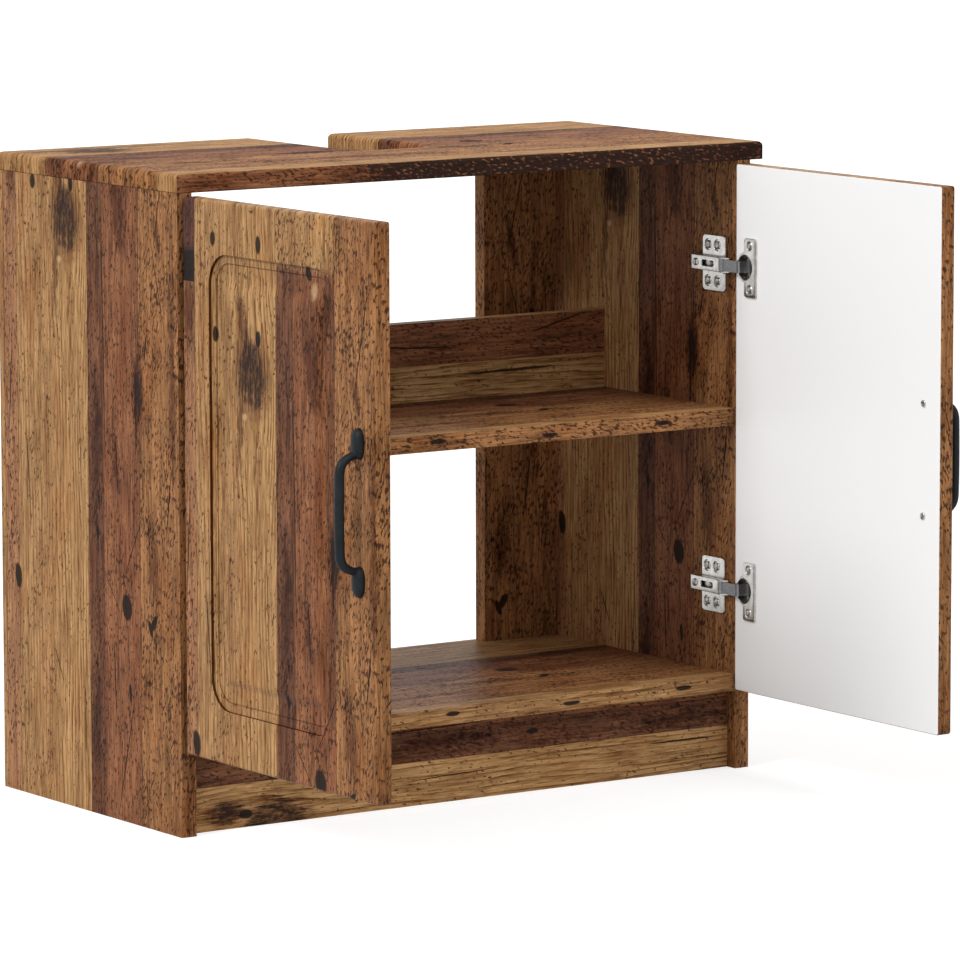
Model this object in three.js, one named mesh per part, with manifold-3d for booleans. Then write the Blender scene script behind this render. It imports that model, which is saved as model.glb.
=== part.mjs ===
// Floor-standing vanity unit that goes round the pedestal or waste of a wash basin.
// Two doors on concealed cup hinges stand open at a right angle to the front, which is how
// the unit is drawn at rest. Millimetres, +X to the right, +Y to the back, +Z up. The origin
// is on the floor, under the middle of the plinth board and of the top panel's width.
import * as THREE from 'three';
import { mergeVertices } from 'three/addons/utils/BufferGeometryUtils.js';
import Module from 'manifold-3d';

const wasm = await Module();
wasm.setup();

// Carcass of coated board. The top hangs over the right-hand side only.
const topWidth = 650;
const topOverhang = 14.5;
const carcassDepth = 318.8;
const unitHeight = 600;
const sideThickness = 15.4;
const topThickness = 17;
const topEdgeRadius = 4;
const deckThickness = 16;
const bottomDeckHeight = 91.4;
const shelfDeckHeight = 347;
const shelfDepth = 231;
const shelfSetback = 1.3;
const railHeight = 76;
const railThickness = 15.4;
const stileWidth = 85;
const stileThickness = 16;
const stileRecess = 3;
const plinthThickness = 15.4;
const plinthSetback = 13.1;

// Opening in the top panel for the waste pipe or the pedestal.
const cutoutWidth = 89.5;
const cutoutDepth = 189.8;
const cutoutCornerRadius = 37;
const cutoutOffset = -3.75;

// Doors with a routed panel in the outer face.
const doorThickness = 15.4;
const doorHeight = 503.2;
const doorBottomHeight = 77.2;
const doorReveal = 4.25;
const doorMiddleGap = 3;
const doorCarcassGap = 3;
const doorEdgeRadius = 2.4;
const panelMargin = 48;
const panelCornerRadius = 30;
const panelStepDepth = 1.6;
const panelDepth = 3.6;
const panelCoveWidth = 6;
const panelFloorWidth = 2;
const panelSlopeWidth = 20;

// Door motion. The four-bar hinge swings the door about one resting pole, to a fair fit.
const restOpening = Math.PI / 2;
const poleInset = 6.95;
const poleForward = 10.45;

// Hinge cups, pressed from steel, let into the inner face of each door.
const hingeEndDistance = 97.2;
const cupRadius = 13.2;
const cupDepth = 13;
const cupInset = 15.6;
const cupWall = 0.8;
const cupSides = 20;
const cupRimWidth = 1.1;
const cupRimThickness = 1;
const cupFlangeStart = 15;
const cupFlangeWidth = 18.5;
const cupFlangeHeight = 56;
const cupFlangeThickness = 2.2;
const cupFlangeCornerRadius = 3;
const cupScrewInset = 23.5;
const cupScrewSpread = 41.4;

// Hinge links, cranked plates that turn on two pins in the arm and reach into the cup.
const outerLinkReach = 26;
const outerPinInset = 7.6;
const outerPinDepth = 9.8;
const outerLinkThickness = 1.6;
const outerLinkHeight = 11.2;
const innerLinkReach = 20.4;
const innerPinInset = 6.3;
const innerPinDepth = 5.6;
const innerLinkThickness = 1.4;
const innerLinkHeight = 8;
const linkBendRadius = 1.6;
const linkEyeWall = 1.1;
const cupPinRadius = 1.2;
const cupPinLength = 8;
const armPinRadius = 1.2;
const pinSides = 10;
const pinClearance = 0.3;
const linkClearance = 0.8;

// Hinge arm and the plate that it is screwed to, on the side panel's inner face.
const plateFrontDistance = 15.4;
const plateWidth = 36.1;
const plateHeight = 53;
const plateThickness = 2.2;
const plateCornerRadius = 4;
const plateTongueLength = 13;
const saddleHeight = 13;
const saddleStandoff = 5;
const plateScrewSpreadAlong = 14.7;
const plateScrewSpreadUp = 34.4;
const plateScrewOffset = 2.5;
const armHeight = 14;
const armSheet = 1.2;
const armStandoff = 9.6;
const armRearDistance = 66.8;
const armNoseLength = 4;
const armNoseSweep = 1.6 * Math.PI;
const armSlotLength = 22.6;
const armSlotHeight = 6.4;
const armSlotDistance = 38;
const armScrewDistance = 59.4;
const armScrewRadius = 2;
const armScrewHeadRadius = 3.6;
const armScrewHeadHeight = 1.6;
const adjusterRadius = 2.7;
const adjusterDrop = 0.2;

// Wood screws for plates and cups.
const screwHeadRadius = 3.3;
const screwHeadHeight = 1.6;
const screwRecessRim = 0.7;
const screwRecessDepth = 0.7;
const screwShankRadius = 1.6;
const plateScrewLength = 13;
const cupScrewLength = 13;
const screwSides = 8;

// Pull handles, cast in one piece with their feet, held by two screws through the door.
const handleEdgeDistance = 24.7;
const handleScrewSpacing = 103.7;
const handleFootWidth = 16;
const handleFootLength = 29;
const handleFootRise = 5.6;
const handleFootOffset = 7.4;
const handleReach = 23.4;
const handleGripRadius = 5;
const handleNeckRadius = 3.7;
const handleScrewRadius = 2;
const handleScrewDepth = 6;
const handleScrewHeadRadius = 3.4;
const handleScrewHeadHeight = 1.7;
const handleScrewTopShare = 0.8;
const handleScrewSides = 10;

// Wooden dowels and cam fittings that hold the boards together.
const dowelRadius = 4;
const dowelLength = 24;
const dowelSides = 8;
const dowelBiteShare = 2 / 3;
const topDowelShares = { front: 1 / 8, rear: 7 / 8 };
const boardDowelShares = [1 / 6, 5 / 6];
const camRadius = 7.5;
const camThickness = 12;
const camDistance = 24;
const camBoltRadius = 3;
const camSides = 12;

// Room left round what sits in a hole, and the overrun of every cutting tool.
const fitClearance = 0.3;
const overrun = 2;

// Sizes that follow from those above.
const carcassWidth = topWidth - topOverhang;
const halfCarcass = carcassWidth / 2;
const halfInside = halfCarcass - sideThickness;
const sideHeight = unitHeight - topThickness;
const topLeft = -halfCarcass;
const carcassCentre = -topOverhang / 2;
const frontOffset = -(plinthSetback + plinthThickness / 2);
const doorWidth = halfCarcass - doorReveal - doorMiddleGap / 2;
const hingeHeights = [doorBottomHeight + hingeEndDistance, doorBottomHeight + doorHeight - hingeEndDistance];
const poleAtSide = -sideThickness + doorReveal + poleInset;
const poleToFace = poleForward - doorCarcassGap;
const plateRearDistance = plateFrontDistance + plateWidth;
const railFront = shelfSetback + shelfDepth - railThickness;
const stileFront = carcassDepth - stileRecess - stileThickness;

const materials = {
  decor: new THREE.MeshStandardMaterial({ color: '#8a6343', roughness: 0.55, metalness: 0 }),
  door: new THREE.MeshStandardMaterial({ color: '#95704d', roughness: 0.5, metalness: 0 }),
  dowel: new THREE.MeshStandardMaterial({ color: '#d2ad78', roughness: 0.8, metalness: 0 }),
  zinc: new THREE.MeshStandardMaterial({ color: '#a9abad', roughness: 0.4, metalness: 0.9 }),
  nickel: new THREE.MeshStandardMaterial({ color: '#c9c7c4', roughness: 0.25, metalness: 1 }),
  black: new THREE.MeshStandardMaterial({ color: '#23282b', roughness: 0.5, metalness: 0.4 }),
};

// Turns a closed three.js geometry into a solid that can be cut and joined.
function solid(geometry) {
  const bare = geometry.clone();
  for (const name of Object.keys(bare.attributes)) {
    if (name !== 'position') bare.deleteAttribute(name);
  }
  const merged = mergeVertices(bare);
  const corners = merged.index.array;
  const kept = [];
  for (let i = 0; i < corners.length; i += 3) {
    const [a, b, c] = [corners[i], corners[i + 1], corners[i + 2]];
    if (a !== b && b !== c && c !== a) kept.push(a, b, c);
  }
  return new wasm.Manifold(new wasm.Mesh({
    numProp: 3,
    vertProperties: new Float32Array(merged.attributes.position.array),
    triVerts: new Uint32Array(kept),
  }));
}

// Turns a solid back into a geometry.
function geometryOf(body) {
  const mesh = body.getMesh();
  const geometry = new THREE.BufferGeometry();
  geometry.setAttribute('position', new THREE.BufferAttribute(mesh.vertProperties, mesh.numProp));
  geometry.setIndex(new THREE.BufferAttribute(mesh.triVerts, 1));
  geometry.computeVertexNormals();
  return geometry;
}

function cut(body, tools) {
  return tools.reduce((rest, tool) => rest.subtract(tool), body);
}

function join(bodies) {
  return bodies.reduce((whole, body) => whole.add(body));
}

// Box between two opposite corners.
function block(low, high) {
  const size = high.map((value, axis) => value - low[axis]);
  const middle = high.map((value, axis) => (value + low[axis]) / 2);
  return new THREE.BoxGeometry(...size).translate(...middle);
}

// Axis turns: what is drawn along Z is laid along X or along Y.
const onX = new THREE.Matrix4().makeBasis(
  new THREE.Vector3(0, 1, 0), new THREE.Vector3(0, 0, 1), new THREE.Vector3(1, 0, 0));
const onY = new THREE.Matrix4().makeBasis(
  new THREE.Vector3(0, 0, 1), new THREE.Vector3(1, 0, 0), new THREE.Vector3(0, 1, 0));
const upright = new THREE.Matrix4();

// Round bar that starts at a point and runs along the given axis turn.
function bar(radius, length, sides, start, turn) {
  return new THREE.CylinderGeometry(radius, radius, length, sides)
    .rotateX(Math.PI / 2).translate(0, 0, length / 2).applyMatrix4(turn).translate(...start);
}

// Turned piece: pairs of radius and height, revolved about Z, then laid along an axis.
function turned(profile, sides, start, turn) {
  const points = profile.map(([radius, height]) => new THREE.Vector2(radius, height));
  return new THREE.LatheGeometry(points, sides)
    .rotateX(Math.PI / 2).applyMatrix4(turn).translate(...start);
}

function roundedRectangle(x0, y0, x1, y1, radius) {
  const shape = new THREE.Shape();
  shape.moveTo(x0 + radius, y0);
  shape.lineTo(x1 - radius, y0);
  shape.absarc(x1 - radius, y0 + radius, radius, -Math.PI / 2, 0, false);
  shape.lineTo(x1, y1 - radius);
  shape.absarc(x1 - radius, y1 - radius, radius, 0, Math.PI / 2, false);
  shape.lineTo(x0 + radius, y1);
  shape.absarc(x0 + radius, y1 - radius, radius, Math.PI / 2, Math.PI, false);
  shape.lineTo(x0, y0 + radius);
  shape.absarc(x0 + radius, y0 + radius, radius, Math.PI, 1.5 * Math.PI, false);
  return shape;
}

function rectangle(x0, y0, x1, y1) {
  return new THREE.Shape([[x0, y0], [x1, y0], [x1, y1], [x0, y1]].map(([x, y]) => new THREE.Vector2(x, y)));
}

// Straight extrusion of a shape between two heights.
function prism(shape, low, high, curveSegments = 5) {
  return new THREE.ExtrudeGeometry(shape, { depth: high - low, bevelEnabled: false, curveSegments })
    .translate(0, 0, low);
}

// Extrusion whose two end faces draw in by inset over a given run, as rounding or as a slope.
function easedPrism(shape, low, high, inset, run, bevelSegments, curveSegments) {
  return new THREE.ExtrudeGeometry(shape, {
    depth: high - low - 2 * run,
    bevelSize: inset,
    bevelOffset: -inset,
    bevelThickness: run,
    bevelSegments,
    curveSegments,
  }).translate(0, 0, low + run);
}

// Mirror image across the plane X = 0, with the faces still pointing out.
function mirrored(geometry) {
  const image = geometry.clone().scale(-1, 1, 1);
  const corners = image.index.array;
  for (let i = 0; i < corners.length; i += 3) {
    [corners[i + 1], corners[i + 2]] = [corners[i + 2], corners[i + 1]];
  }
  image.computeVertexNormals();
  return image;
}

// All that belongs to the carcass hangs in this frame: X = 0 in its middle, Y = 0 at its front.
const vanity = new THREE.Group();
const carcass = new THREE.Group();
carcass.position.set(carcassCentre, frontOffset, 0);
vanity.add(carcass);

function addPart(parent, name, body, material) {
  const mesh = new THREE.Mesh(body.isBufferGeometry ? body : geometryOf(body), material);
  mesh.name = name;
  parent.add(mesh);
  return mesh;
}

// The left-hand piece is drawn, and the right-hand one is its mirror image.
const hands = [{ name: 'left', sign: 1 }, { name: 'right', sign: -1 }];

function addHanded(parent, hand, name, body, material) {
  const geometry = geometryOf(body);
  return addPart(parent, name, hand.sign > 0 ? geometry : mirrored(geometry), material);
}

// Both hands of a list of solids drawn on the left.
function bothHands(bodies) {
  return bodies.flatMap((body) => [body, solid(mirrored(geometryOf(body)))]);
}

// Loose dowels stand in the top ends of the side panels and enter the top panel from below.
const sideBite = sideThickness * dowelBiteShare;
const topBite = topThickness * dowelBiteShare;
const topDowelPlaces = {
  front: carcassDepth * topDowelShares.front,
  rear: carcassDepth * topDowelShares.rear,
};

function topDowel(distance, play) {
  const start = sideHeight + topBite - dowelLength - play;
  return solid(bar(
    dowelRadius + play, dowelLength + 2 * play, dowelSides,
    [-halfCarcass + sideThickness / 2, distance, start], upright));
}

function topDowelHoles() {
  return Object.values(topDowelPlaces).map((distance) => topDowel(distance, fitClearance));
}

// Glued dowels stay in the end of a board and enter the side panel: distance and height.
const bottomMiddle = bottomDeckHeight - deckThickness / 2;
const shelfMiddle = shelfDeckHeight - deckThickness / 2;
const deckDowelDistances = boardDowelShares.map((share) => share * shelfDepth);
const gluedDowelPlaces = {
  bottom: deckDowelDistances.map((distance) => [distance, bottomMiddle]),
  shelf: deckDowelDistances.map((distance) => [distance, shelfMiddle]),
  rail: [[railFront + railThickness / 2, shelfDeckHeight + railHeight / 2]],
  plinth: [[plinthSetback + plinthThickness / 2, (bottomDeckHeight - deckThickness) / 2]],
  stile: boardDowelShares.map((share) => (
    [stileFront + stileThickness / 2, bottomDeckHeight + share * (sideHeight - bottomDeckHeight)])),
};

function gluedDowels(kind, play) {
  return gluedDowelPlaces[kind].map(([distance, height]) => solid(bar(
    dowelRadius + play, sideBite + play + overrun, dowelSides,
    [-halfInside - sideBite - play, distance, height], onX)));
}

function boardWithDowels(board, kind) {
  return join([solid(board), ...bothHands(gluedDowels(kind, 0))]);
}

// Cam fittings: a disc let into the underside of a deck, and a bolt from the side panel.
const camHeights = { bottom: bottomMiddle, shelf: shelfMiddle };

function camLock(deck, play) {
  const under = camHeights[deck] - deckThickness / 2;
  const below = play > 0 ? overrun : 0;
  return solid(bar(
    camRadius + play, camThickness + play + below, camSides,
    [-halfInside + camDistance, shelfDepth / 2, under - below], upright));
}

function camBolt(deck, play) {
  const start = -halfInside - sideBite - play;
  const end = -halfInside + camDistance - camRadius - fitClearance + play;
  return solid(bar(
    camBoltRadius + play, end - start, dowelSides, [start, shelfDepth / 2, camHeights[deck]], onX));
}

function camHoles(deck) {
  return [camLock(deck, fitClearance), camBolt(deck, fitClearance)];
}

// Top panel: one board, rounded along every upper edge, open to the back at the cut-out.
function topPanel() {
  const left = topLeft;
  const right = left + topWidth;
  const middle = topLeft + topWidth / 2 + cutoutOffset;
  const near = carcassDepth - cutoutDepth;
  const radius = cutoutCornerRadius;
  const slotLeft = middle - cutoutWidth / 2;
  const slotRight = middle + cutoutWidth / 2;
  const outline = new THREE.Shape();
  outline.moveTo(left, 0);
  outline.lineTo(right, 0);
  outline.lineTo(right, carcassDepth);
  outline.lineTo(slotRight, carcassDepth);
  outline.lineTo(slotRight, near + radius);
  outline.absarc(slotRight - radius, near + radius, radius, 0, -Math.PI / 2, true);
  outline.lineTo(slotLeft + radius, near);
  outline.absarc(slotLeft + radius, near + radius, radius, -Math.PI / 2, -Math.PI, true);
  outline.lineTo(slotLeft, carcassDepth);
  outline.lineTo(left, carcassDepth);
  const doubled = easedPrism(
    outline, sideHeight - topEdgeRadius, unitHeight, topEdgeRadius, topEdgeRadius, 3, 6);
  const lower = block(
    [left - overrun, -overrun, sideHeight - topEdgeRadius - overrun],
    [right + overrun, carcassDepth + overrun, sideHeight]);
  return cut(solid(doubled), [solid(lower), ...bothHands(topDowelHoles())]);
}

// Side panel: a plain board with the dowel, bolt and screw holes of what it carries.
function sidePanel() {
  const board = block([-halfCarcass, 0, 0], [-halfInside, carcassDepth, sideHeight]);
  return cut(solid(board), [
    ...topDowelHoles(),
    ...Object.keys(gluedDowelPlaces).flatMap((kind) => gluedDowels(kind, fitClearance)),
    ...Object.keys(camHeights).map((deck) => camBolt(deck, fitClearance)),
    ...hingeHeights.flatMap((height) => plateScrews(height, fitClearance)),
  ]);
}

function bottomPanel() {
  const board = block(
    [-halfInside, 0, bottomDeckHeight - deckThickness], [halfInside, carcassDepth, bottomDeckHeight]);
  return cut(boardWithDowels(board, 'bottom'), bothHands(camHoles('bottom')));
}

function middleShelf() {
  const board = block(
    [-halfInside, shelfSetback, shelfDeckHeight - deckThickness],
    [halfInside, shelfSetback + shelfDepth, shelfDeckHeight]);
  return cut(boardWithDowels(board, 'shelf'), bothHands(camHoles('shelf')));
}

function shelfBackRail() {
  return boardWithDowels(block(
    [-halfInside, railFront, shelfDeckHeight],
    [halfInside, railFront + railThickness, shelfDeckHeight + railHeight]), 'rail');
}

function plinthBoard() {
  return boardWithDowels(block(
    [-halfInside, plinthSetback, 0],
    [halfInside, plinthSetback + plinthThickness, bottomDeckHeight - deckThickness]), 'plinth');
}

// Back stile: the upright strip at each rear corner. The back is open between the two.
function backStile() {
  const board = block(
    [-halfInside, stileFront, bottomDeckHeight],
    [-halfInside + stileWidth, stileFront + stileThickness, sideHeight]);
  return join([solid(board), ...gluedDowels('stile', 0)]);
}

// Door: drawn closed, with the pole at X = 0, Y = 0 and its inner face towards +Y.
function doorPoint(inset, depth) {
  return [inset - poleInset, poleToFace - depth];
}

const doorTopHeight = doorBottomHeight + doorHeight;
const handleHeights = [-1, 1].map((end) => (
  doorBottomHeight + doorHeight / 2 + end * handleScrewSpacing / 2));
const handleInset = doorWidth - handleEdgeDistance;

// The outline of the routed panel, drawn in by an inset all round.
function panelOutline(inset) {
  const margin = panelMargin + inset;
  return roundedRectangle(
    doorBottomHeight + margin, margin - poleInset,
    doorTopHeight - margin, doorWidth - margin - poleInset, panelCornerRadius - inset);
}

function doorPanel() {
  const face = poleToFace - doorThickness;
  const doubled = easedPrism(
    rectangle(doorBottomHeight, -poleInset, doorTopHeight, doorWidth - poleInset),
    face, poleToFace + doorEdgeRadius, doorEdgeRadius, doorEdgeRadius, 2, 1).applyMatrix4(onY);
  const behind = block(
    [-poleInset - overrun, poleToFace, doorBottomHeight - overrun],
    [doorWidth, poleToFace + doorEdgeRadius + overrun, doorTopHeight + overrun]);
  const coveRun = panelDepth - panelStepDepth;
  const pocket = easedPrism(
    panelOutline(0), face - overrun - coveRun, face + panelDepth,
    panelCoveWidth, coveRun, 2, 4).applyMatrix4(onY);
  const fieldInset = panelCoveWidth + panelFloorWidth;
  const field = easedPrism(
    panelOutline(fieldInset), face, face + 2 * panelDepth + overrun,
    panelSlopeWidth, panelDepth, 1, 4).applyMatrix4(onY);
  const fieldBack = block(
    [-poleInset - overrun, face + panelDepth + overrun / 2, doorBottomHeight - overrun],
    [doorWidth, face + 3 * panelDepth + 2 * overrun, doorTopHeight + overrun]);
  const board = cut(solid(doubled), [solid(behind), solid(pocket)]);
  return cut(board.add(solid(field).subtract(solid(fieldBack))), [
    ...hingeHeights.map((height) => cupPocket(height)),
    ...hingeHeights.flatMap((height) => cupScrews(height, fitClearance)),
    ...handleHeights.map((height) => handleScrewHole(height)),
  ]);
}

// Hinge cup and its flange, seen from the door: let in round its axis, open to the carcass.
function cupPocket(height) {
  const [x, y] = doorPoint(cupInset, cupDepth + fitClearance);
  return solid(bar(cupRadius + fitClearance, cupDepth + overrun, cupSides, [x, y, height], onY));
}

function hingeCup(height) {
  const [x, bottom] = doorPoint(cupInset, cupDepth);
  const rimTop = cupDepth + cupRimThickness;
  const shell = turned([
    [0, 0], [cupRadius, 0], [cupRadius, cupDepth], [cupRadius + cupRimWidth, cupDepth],
    [cupRadius + cupRimWidth, rimTop], [0, rimTop],
  ], cupSides, [x, bottom, height], onY);
  const flangeLeft = cupFlangeStart - poleInset;
  const flange = prism(roundedRectangle(
    height - cupFlangeHeight / 2, flangeLeft,
    height + cupFlangeHeight / 2, flangeLeft + cupFlangeWidth, cupFlangeCornerRadius),
  poleToFace, poleToFace + cupFlangeThickness, 2).applyMatrix4(onY);
  const hollow = bar(
    cupRadius - cupWall, cupDepth + cupFlangeThickness + overrun, cupSides,
    [x, bottom + cupWall, height], onY);
  const pressing = cut(join([solid(shell), solid(flange)]), [
    solid(hollow), ...cupScrewSeats(height).map(screwRecess)]);
  return join([pressing, ...cupScrews(height, 0)]);
}

// Wood screw with a low round head, sunk in a shallow recess of the sheet that it holds.
// A play above zero gives the pilot hole for its shank.
function woodScrew({ place, turn, length }, play) {
  const shank = screwShankRadius + play;
  const tip = -length - play;
  if (play > 0) return solid(turned([[0, tip], [shank, tip], [shank, 0], [0, 0]], screwSides, place, turn));
  return solid(turned([
    [0, tip], [shank, tip], [shank, -screwRecessDepth - screwHeadHeight],
    [screwHeadRadius, -screwRecessDepth], [0, 0],
  ], screwSides, place, turn));
}

function screwRecess({ place, turn }) {
  const radius = screwHeadRadius + screwRecessRim;
  const recess = turned([
    [0, -screwRecessDepth], [radius, -screwRecessDepth], [radius, overrun], [0, overrun],
  ], screwSides, place, turn);
  return solid(recess);
}

// Seats of the two screws of a cup flange, driven into the door.
function cupScrewSeats(height) {
  const [x, face] = doorPoint(cupScrewInset, 0);
  return [-1, 1].map((end) => ({
    place: [x, face + cupFlangeThickness, height + end * cupScrewSpread / 2],
    turn: onY,
    length: cupScrewLength,
  }));
}

function cupScrews(height, play) {
  return cupScrewSeats(height).map((seat) => woodScrew(seat, play));
}

// Seats of the four screws of a mounting plate, driven into the side panel.
function plateScrewSeats(height) {
  const middle = plateFrontDistance + plateWidth / 2 + plateScrewOffset;
  return [-1, 1].flatMap((across) => [-1, 1].map((end) => ({
    place: [
      -halfInside + plateThickness,
      middle + across * plateScrewSpreadAlong / 2,
      height + end * plateScrewSpreadUp / 2,
    ],
    turn: onX,
    length: plateScrewLength,
  })));
}

function plateScrews(height, play) {
  return plateScrewSeats(height).map((seat) => woodScrew(seat, play));
}

// Mounting plate: two wings with a raised saddle between them, which runs on as a tongue.
// Its four wood screws and the two machine screws of the arm stay in it.
function hingePlate(height) {
  const wings = prism(roundedRectangle(
    plateFrontDistance, height - plateHeight / 2,
    plateRearDistance, height + plateHeight / 2, plateCornerRadius),
  -halfInside, -halfInside + plateThickness, 2).applyMatrix4(onX);
  const saddle = block(
    [-halfInside, plateFrontDistance, height - saddleHeight / 2],
    [-halfInside + saddleStandoff, plateRearDistance + plateTongueLength, height + saddleHeight / 2]);
  const pressing = cut(join([solid(wings), solid(saddle)]), plateScrewSeats(height).map(screwRecess));
  return join([pressing, ...plateScrews(height, 0), ...armScrews(height)]);
}

// Fixing screw at the arm's tail and adjusting screw in its slot, both from the saddle.
function armScrews(height) {
  const foot = saddleStandoff / 2;
  const underHead = armStandoff + fitClearance - foot;
  const headTop = underHead + armScrewHeadHeight;
  const fixing = turned([
    [0, 0], [armScrewRadius, 0], [armScrewRadius, underHead], [armScrewHeadRadius, underHead],
    [armScrewHeadRadius, headTop], [0, headTop],
  ], screwSides, [-halfInside + foot, armScrewDistance, height], onX);
  const adjuster = bar(
    adjusterRadius, armStandoff - adjusterDrop - foot, screwSides,
    [-halfInside + foot, armSlotDistance, height], onX);
  return [solid(fixing), solid(adjuster)];
}

// Plan of the hinge, from above: inwards from the side panel's face, back from the front edge.
function atRest(inset, depth) {
  const [x, y] = doorPoint(inset, depth);
  const [sine, cosine] = [Math.sin(-restOpening), Math.cos(-restOpening)];
  return [poleAtSide + x * cosine - y * sine, -poleForward + x * sine + y * cosine];
}

// Arm pin from which a link reaches one door point both with the door closed and at rest.
function armPivot(inset, depth, reach) {
  const [x, y] = doorPoint(inset, depth);
  const bearing = Math.atan2(y, x) - restOpening / 2;
  const side = y > 0 ? 1 : -1;
  return [poleAtSide + side * reach * Math.cos(bearing), -poleForward + side * reach * Math.sin(bearing)];
}

const outerPivot = armPivot(outerPinInset, outerPinDepth, outerLinkReach);
const innerPivot = armPivot(innerPinInset, innerPinDepth, innerLinkReach);
const outerCupPin = atRest(outerPinInset, outerPinDepth);
const innerCupPin = atRest(innerPinInset, innerPinDepth);

// Strip of sheet bent along a line of plan points, with rounded bends.
function bentStrip(points, thickness, low, high) {
  const line = new THREE.Path();
  const corners = points.map(([x, y]) => new THREE.Vector2(x, y));
  line.moveTo(corners[0].x, corners[0].y);
  for (let i = 1; i < corners.length - 1; i += 1) {
    const toward = corners[i - 1].clone().sub(corners[i]).setLength(linkBendRadius).add(corners[i]);
    const away = corners[i + 1].clone().sub(corners[i]).setLength(linkBendRadius).add(corners[i]);
    line.lineTo(toward.x, toward.y);
    line.quadraticCurveTo(corners[i].x, corners[i].y, away.x, away.y);
  }
  const last = corners[corners.length - 1];
  line.lineTo(last.x, last.y);
  const stations = line.getPoints(2);
  const normals = stations.map((point, i) => {
    const before = stations[Math.max(i - 1, 0)];
    const after = stations[Math.min(i + 1, stations.length - 1)];
    return new THREE.Vector2(before.y - after.y, after.x - before.x).normalize();
  });
  const edge = (side) => stations.map((point, i) => (
    point.clone().addScaledVector(normals[i], side * thickness / 2)));
  return prism(new THREE.Shape([...edge(1), ...edge(-1).reverse()]), low, high);
}

// Cranked link: an eye on the arm pin, a strip, and a riveted pin that turns in the cup.
function crankedLink(height, pivot, bends, cupPin, thickness, linkHeight) {
  const [low, high] = [height - linkHeight / 2, height + linkHeight / 2];
  const eye = armPinRadius + pinClearance;
  const strip = bentStrip([pivot, ...bends, cupPin], thickness, low, high);
  const knuckle = bar(eye + linkEyeWall, linkHeight, pinSides, [...pivot, low], upright);
  const pin = bar(cupPinRadius, cupPinLength, pinSides, [...cupPin, height - cupPinLength / 2], upright);
  const bore = bar(eye, linkHeight + 2 * overrun, pinSides, [...pivot, low - overrun], upright);
  const link = join([solid(strip), solid(knuckle), solid(pin)]).subtract(solid(bore));
  return solid(geometryOf(link).translate(-halfInside, 0, 0));
}

// The inner link climbs over the door's corner and the cup's rim, then drops into the cup.
const innerRise = linkClearance + innerLinkThickness / 2;
const innerDrop = innerPinInset - cupPinRadius + innerLinkThickness / 2;
const innerBends = [
  atRest(0, -innerRise),
  atRest(cupInset - cupRadius - cupRimWidth, -(cupRimThickness + innerRise)),
  atRest(innerDrop, -(cupRimThickness + innerRise)),
];

// The outer link passes over the inner one and drops into the cup beyond it.
const outerRise = cupRimThickness + 2 * innerRise + outerLinkThickness / 2;
const outerDrop = innerPinInset + cupPinRadius + linkClearance + outerLinkThickness / 2;
const outerBends = [
  atRest(cupInset - cupRadius, -outerRise),
  atRest(outerDrop, -outerRise),
  atRest(outerDrop, innerPinDepth + outerLinkThickness / 2),
];

function outerLink(height) {
  return crankedLink(height, outerPivot, outerBends, outerCupPin, outerLinkThickness, outerLinkHeight);
}

function innerLink(height) {
  return crankedLink(height, innerPivot, innerBends, innerCupPin, innerLinkThickness, innerLinkHeight);
}

// Hinge arm: a channel of bent sheet that holds the two link pins between its cheeks.
const armFront = outerPivot[1] + armPinRadius + pinClearance + linkEyeWall + fitClearance;

function hingeArm(height) {
  const noseRadius = armPinRadius + pinClearance + armSheet;
  const [outerX, outerY] = outerPivot;
  const [innerX, innerY] = innerPivot;
  const cheekPlan = new THREE.Shape();
  cheekPlan.moveTo(saddleStandoff + fitClearance, armRearDistance);
  cheekPlan.lineTo(saddleStandoff + fitClearance, plateFrontDistance);
  cheekPlan.lineTo(innerX - noseRadius, innerY + noseRadius);
  cheekPlan.absarc(innerX, innerY, noseRadius, Math.PI, armNoseSweep, false);
  cheekPlan.lineTo(outerX + noseRadius, outerY - noseRadius / 2);
  cheekPlan.absarc(outerX, outerY, noseRadius, 0, Math.PI / 4, false);
  cheekPlan.lineTo(armStandoff, armFront + armNoseLength);
  cheekPlan.lineTo(armStandoff, armRearDistance);
  const web = block(
    [armStandoff - armSheet, armFront, height - armHeight / 2],
    [armStandoff, armRearDistance, height + armHeight / 2]);
  const cheeks = [-1, 1].map((end) => {
    const outside = height + end * armHeight / 2;
    const inside = outside - end * armSheet;
    return prism(cheekPlan, Math.min(outside, inside), Math.max(outside, inside), 3);
  });
  const slotEnd = armSlotLength / 2;
  const slot = prism(roundedRectangle(
    armSlotDistance - slotEnd, height - armSlotHeight / 2,
    armSlotDistance + slotEnd, height + armSlotHeight / 2, armSlotHeight / 2 - fitClearance),
  armStandoff - armSheet - overrun, armStandoff + overrun, 2).applyMatrix4(onX);
  const screwHole = bar(
    armScrewRadius + fitClearance, armSheet + 2 * overrun, pinSides,
    [armStandoff - armSheet - overrun, armScrewDistance, height], onX);
  const pinHoles = [outerPivot, innerPivot].map((pivot) => bar(
    armPinRadius + pinClearance, armHeight + 2 * overrun, pinSides,
    [...pivot, height - armHeight / 2 - overrun], upright));
  const channel = join([web, ...cheeks].map(solid));
  const arm = cut(channel, [slot, screwHole, ...pinHoles].map(solid));
  return solid(geometryOf(arm).translate(-halfInside, 0, 0));
}

function armPin(height, pivot) {
  return solid(bar(
    armPinRadius, armHeight, pinSides, [pivot[0] - halfInside, pivot[1], height - armHeight / 2], upright));
}

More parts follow.
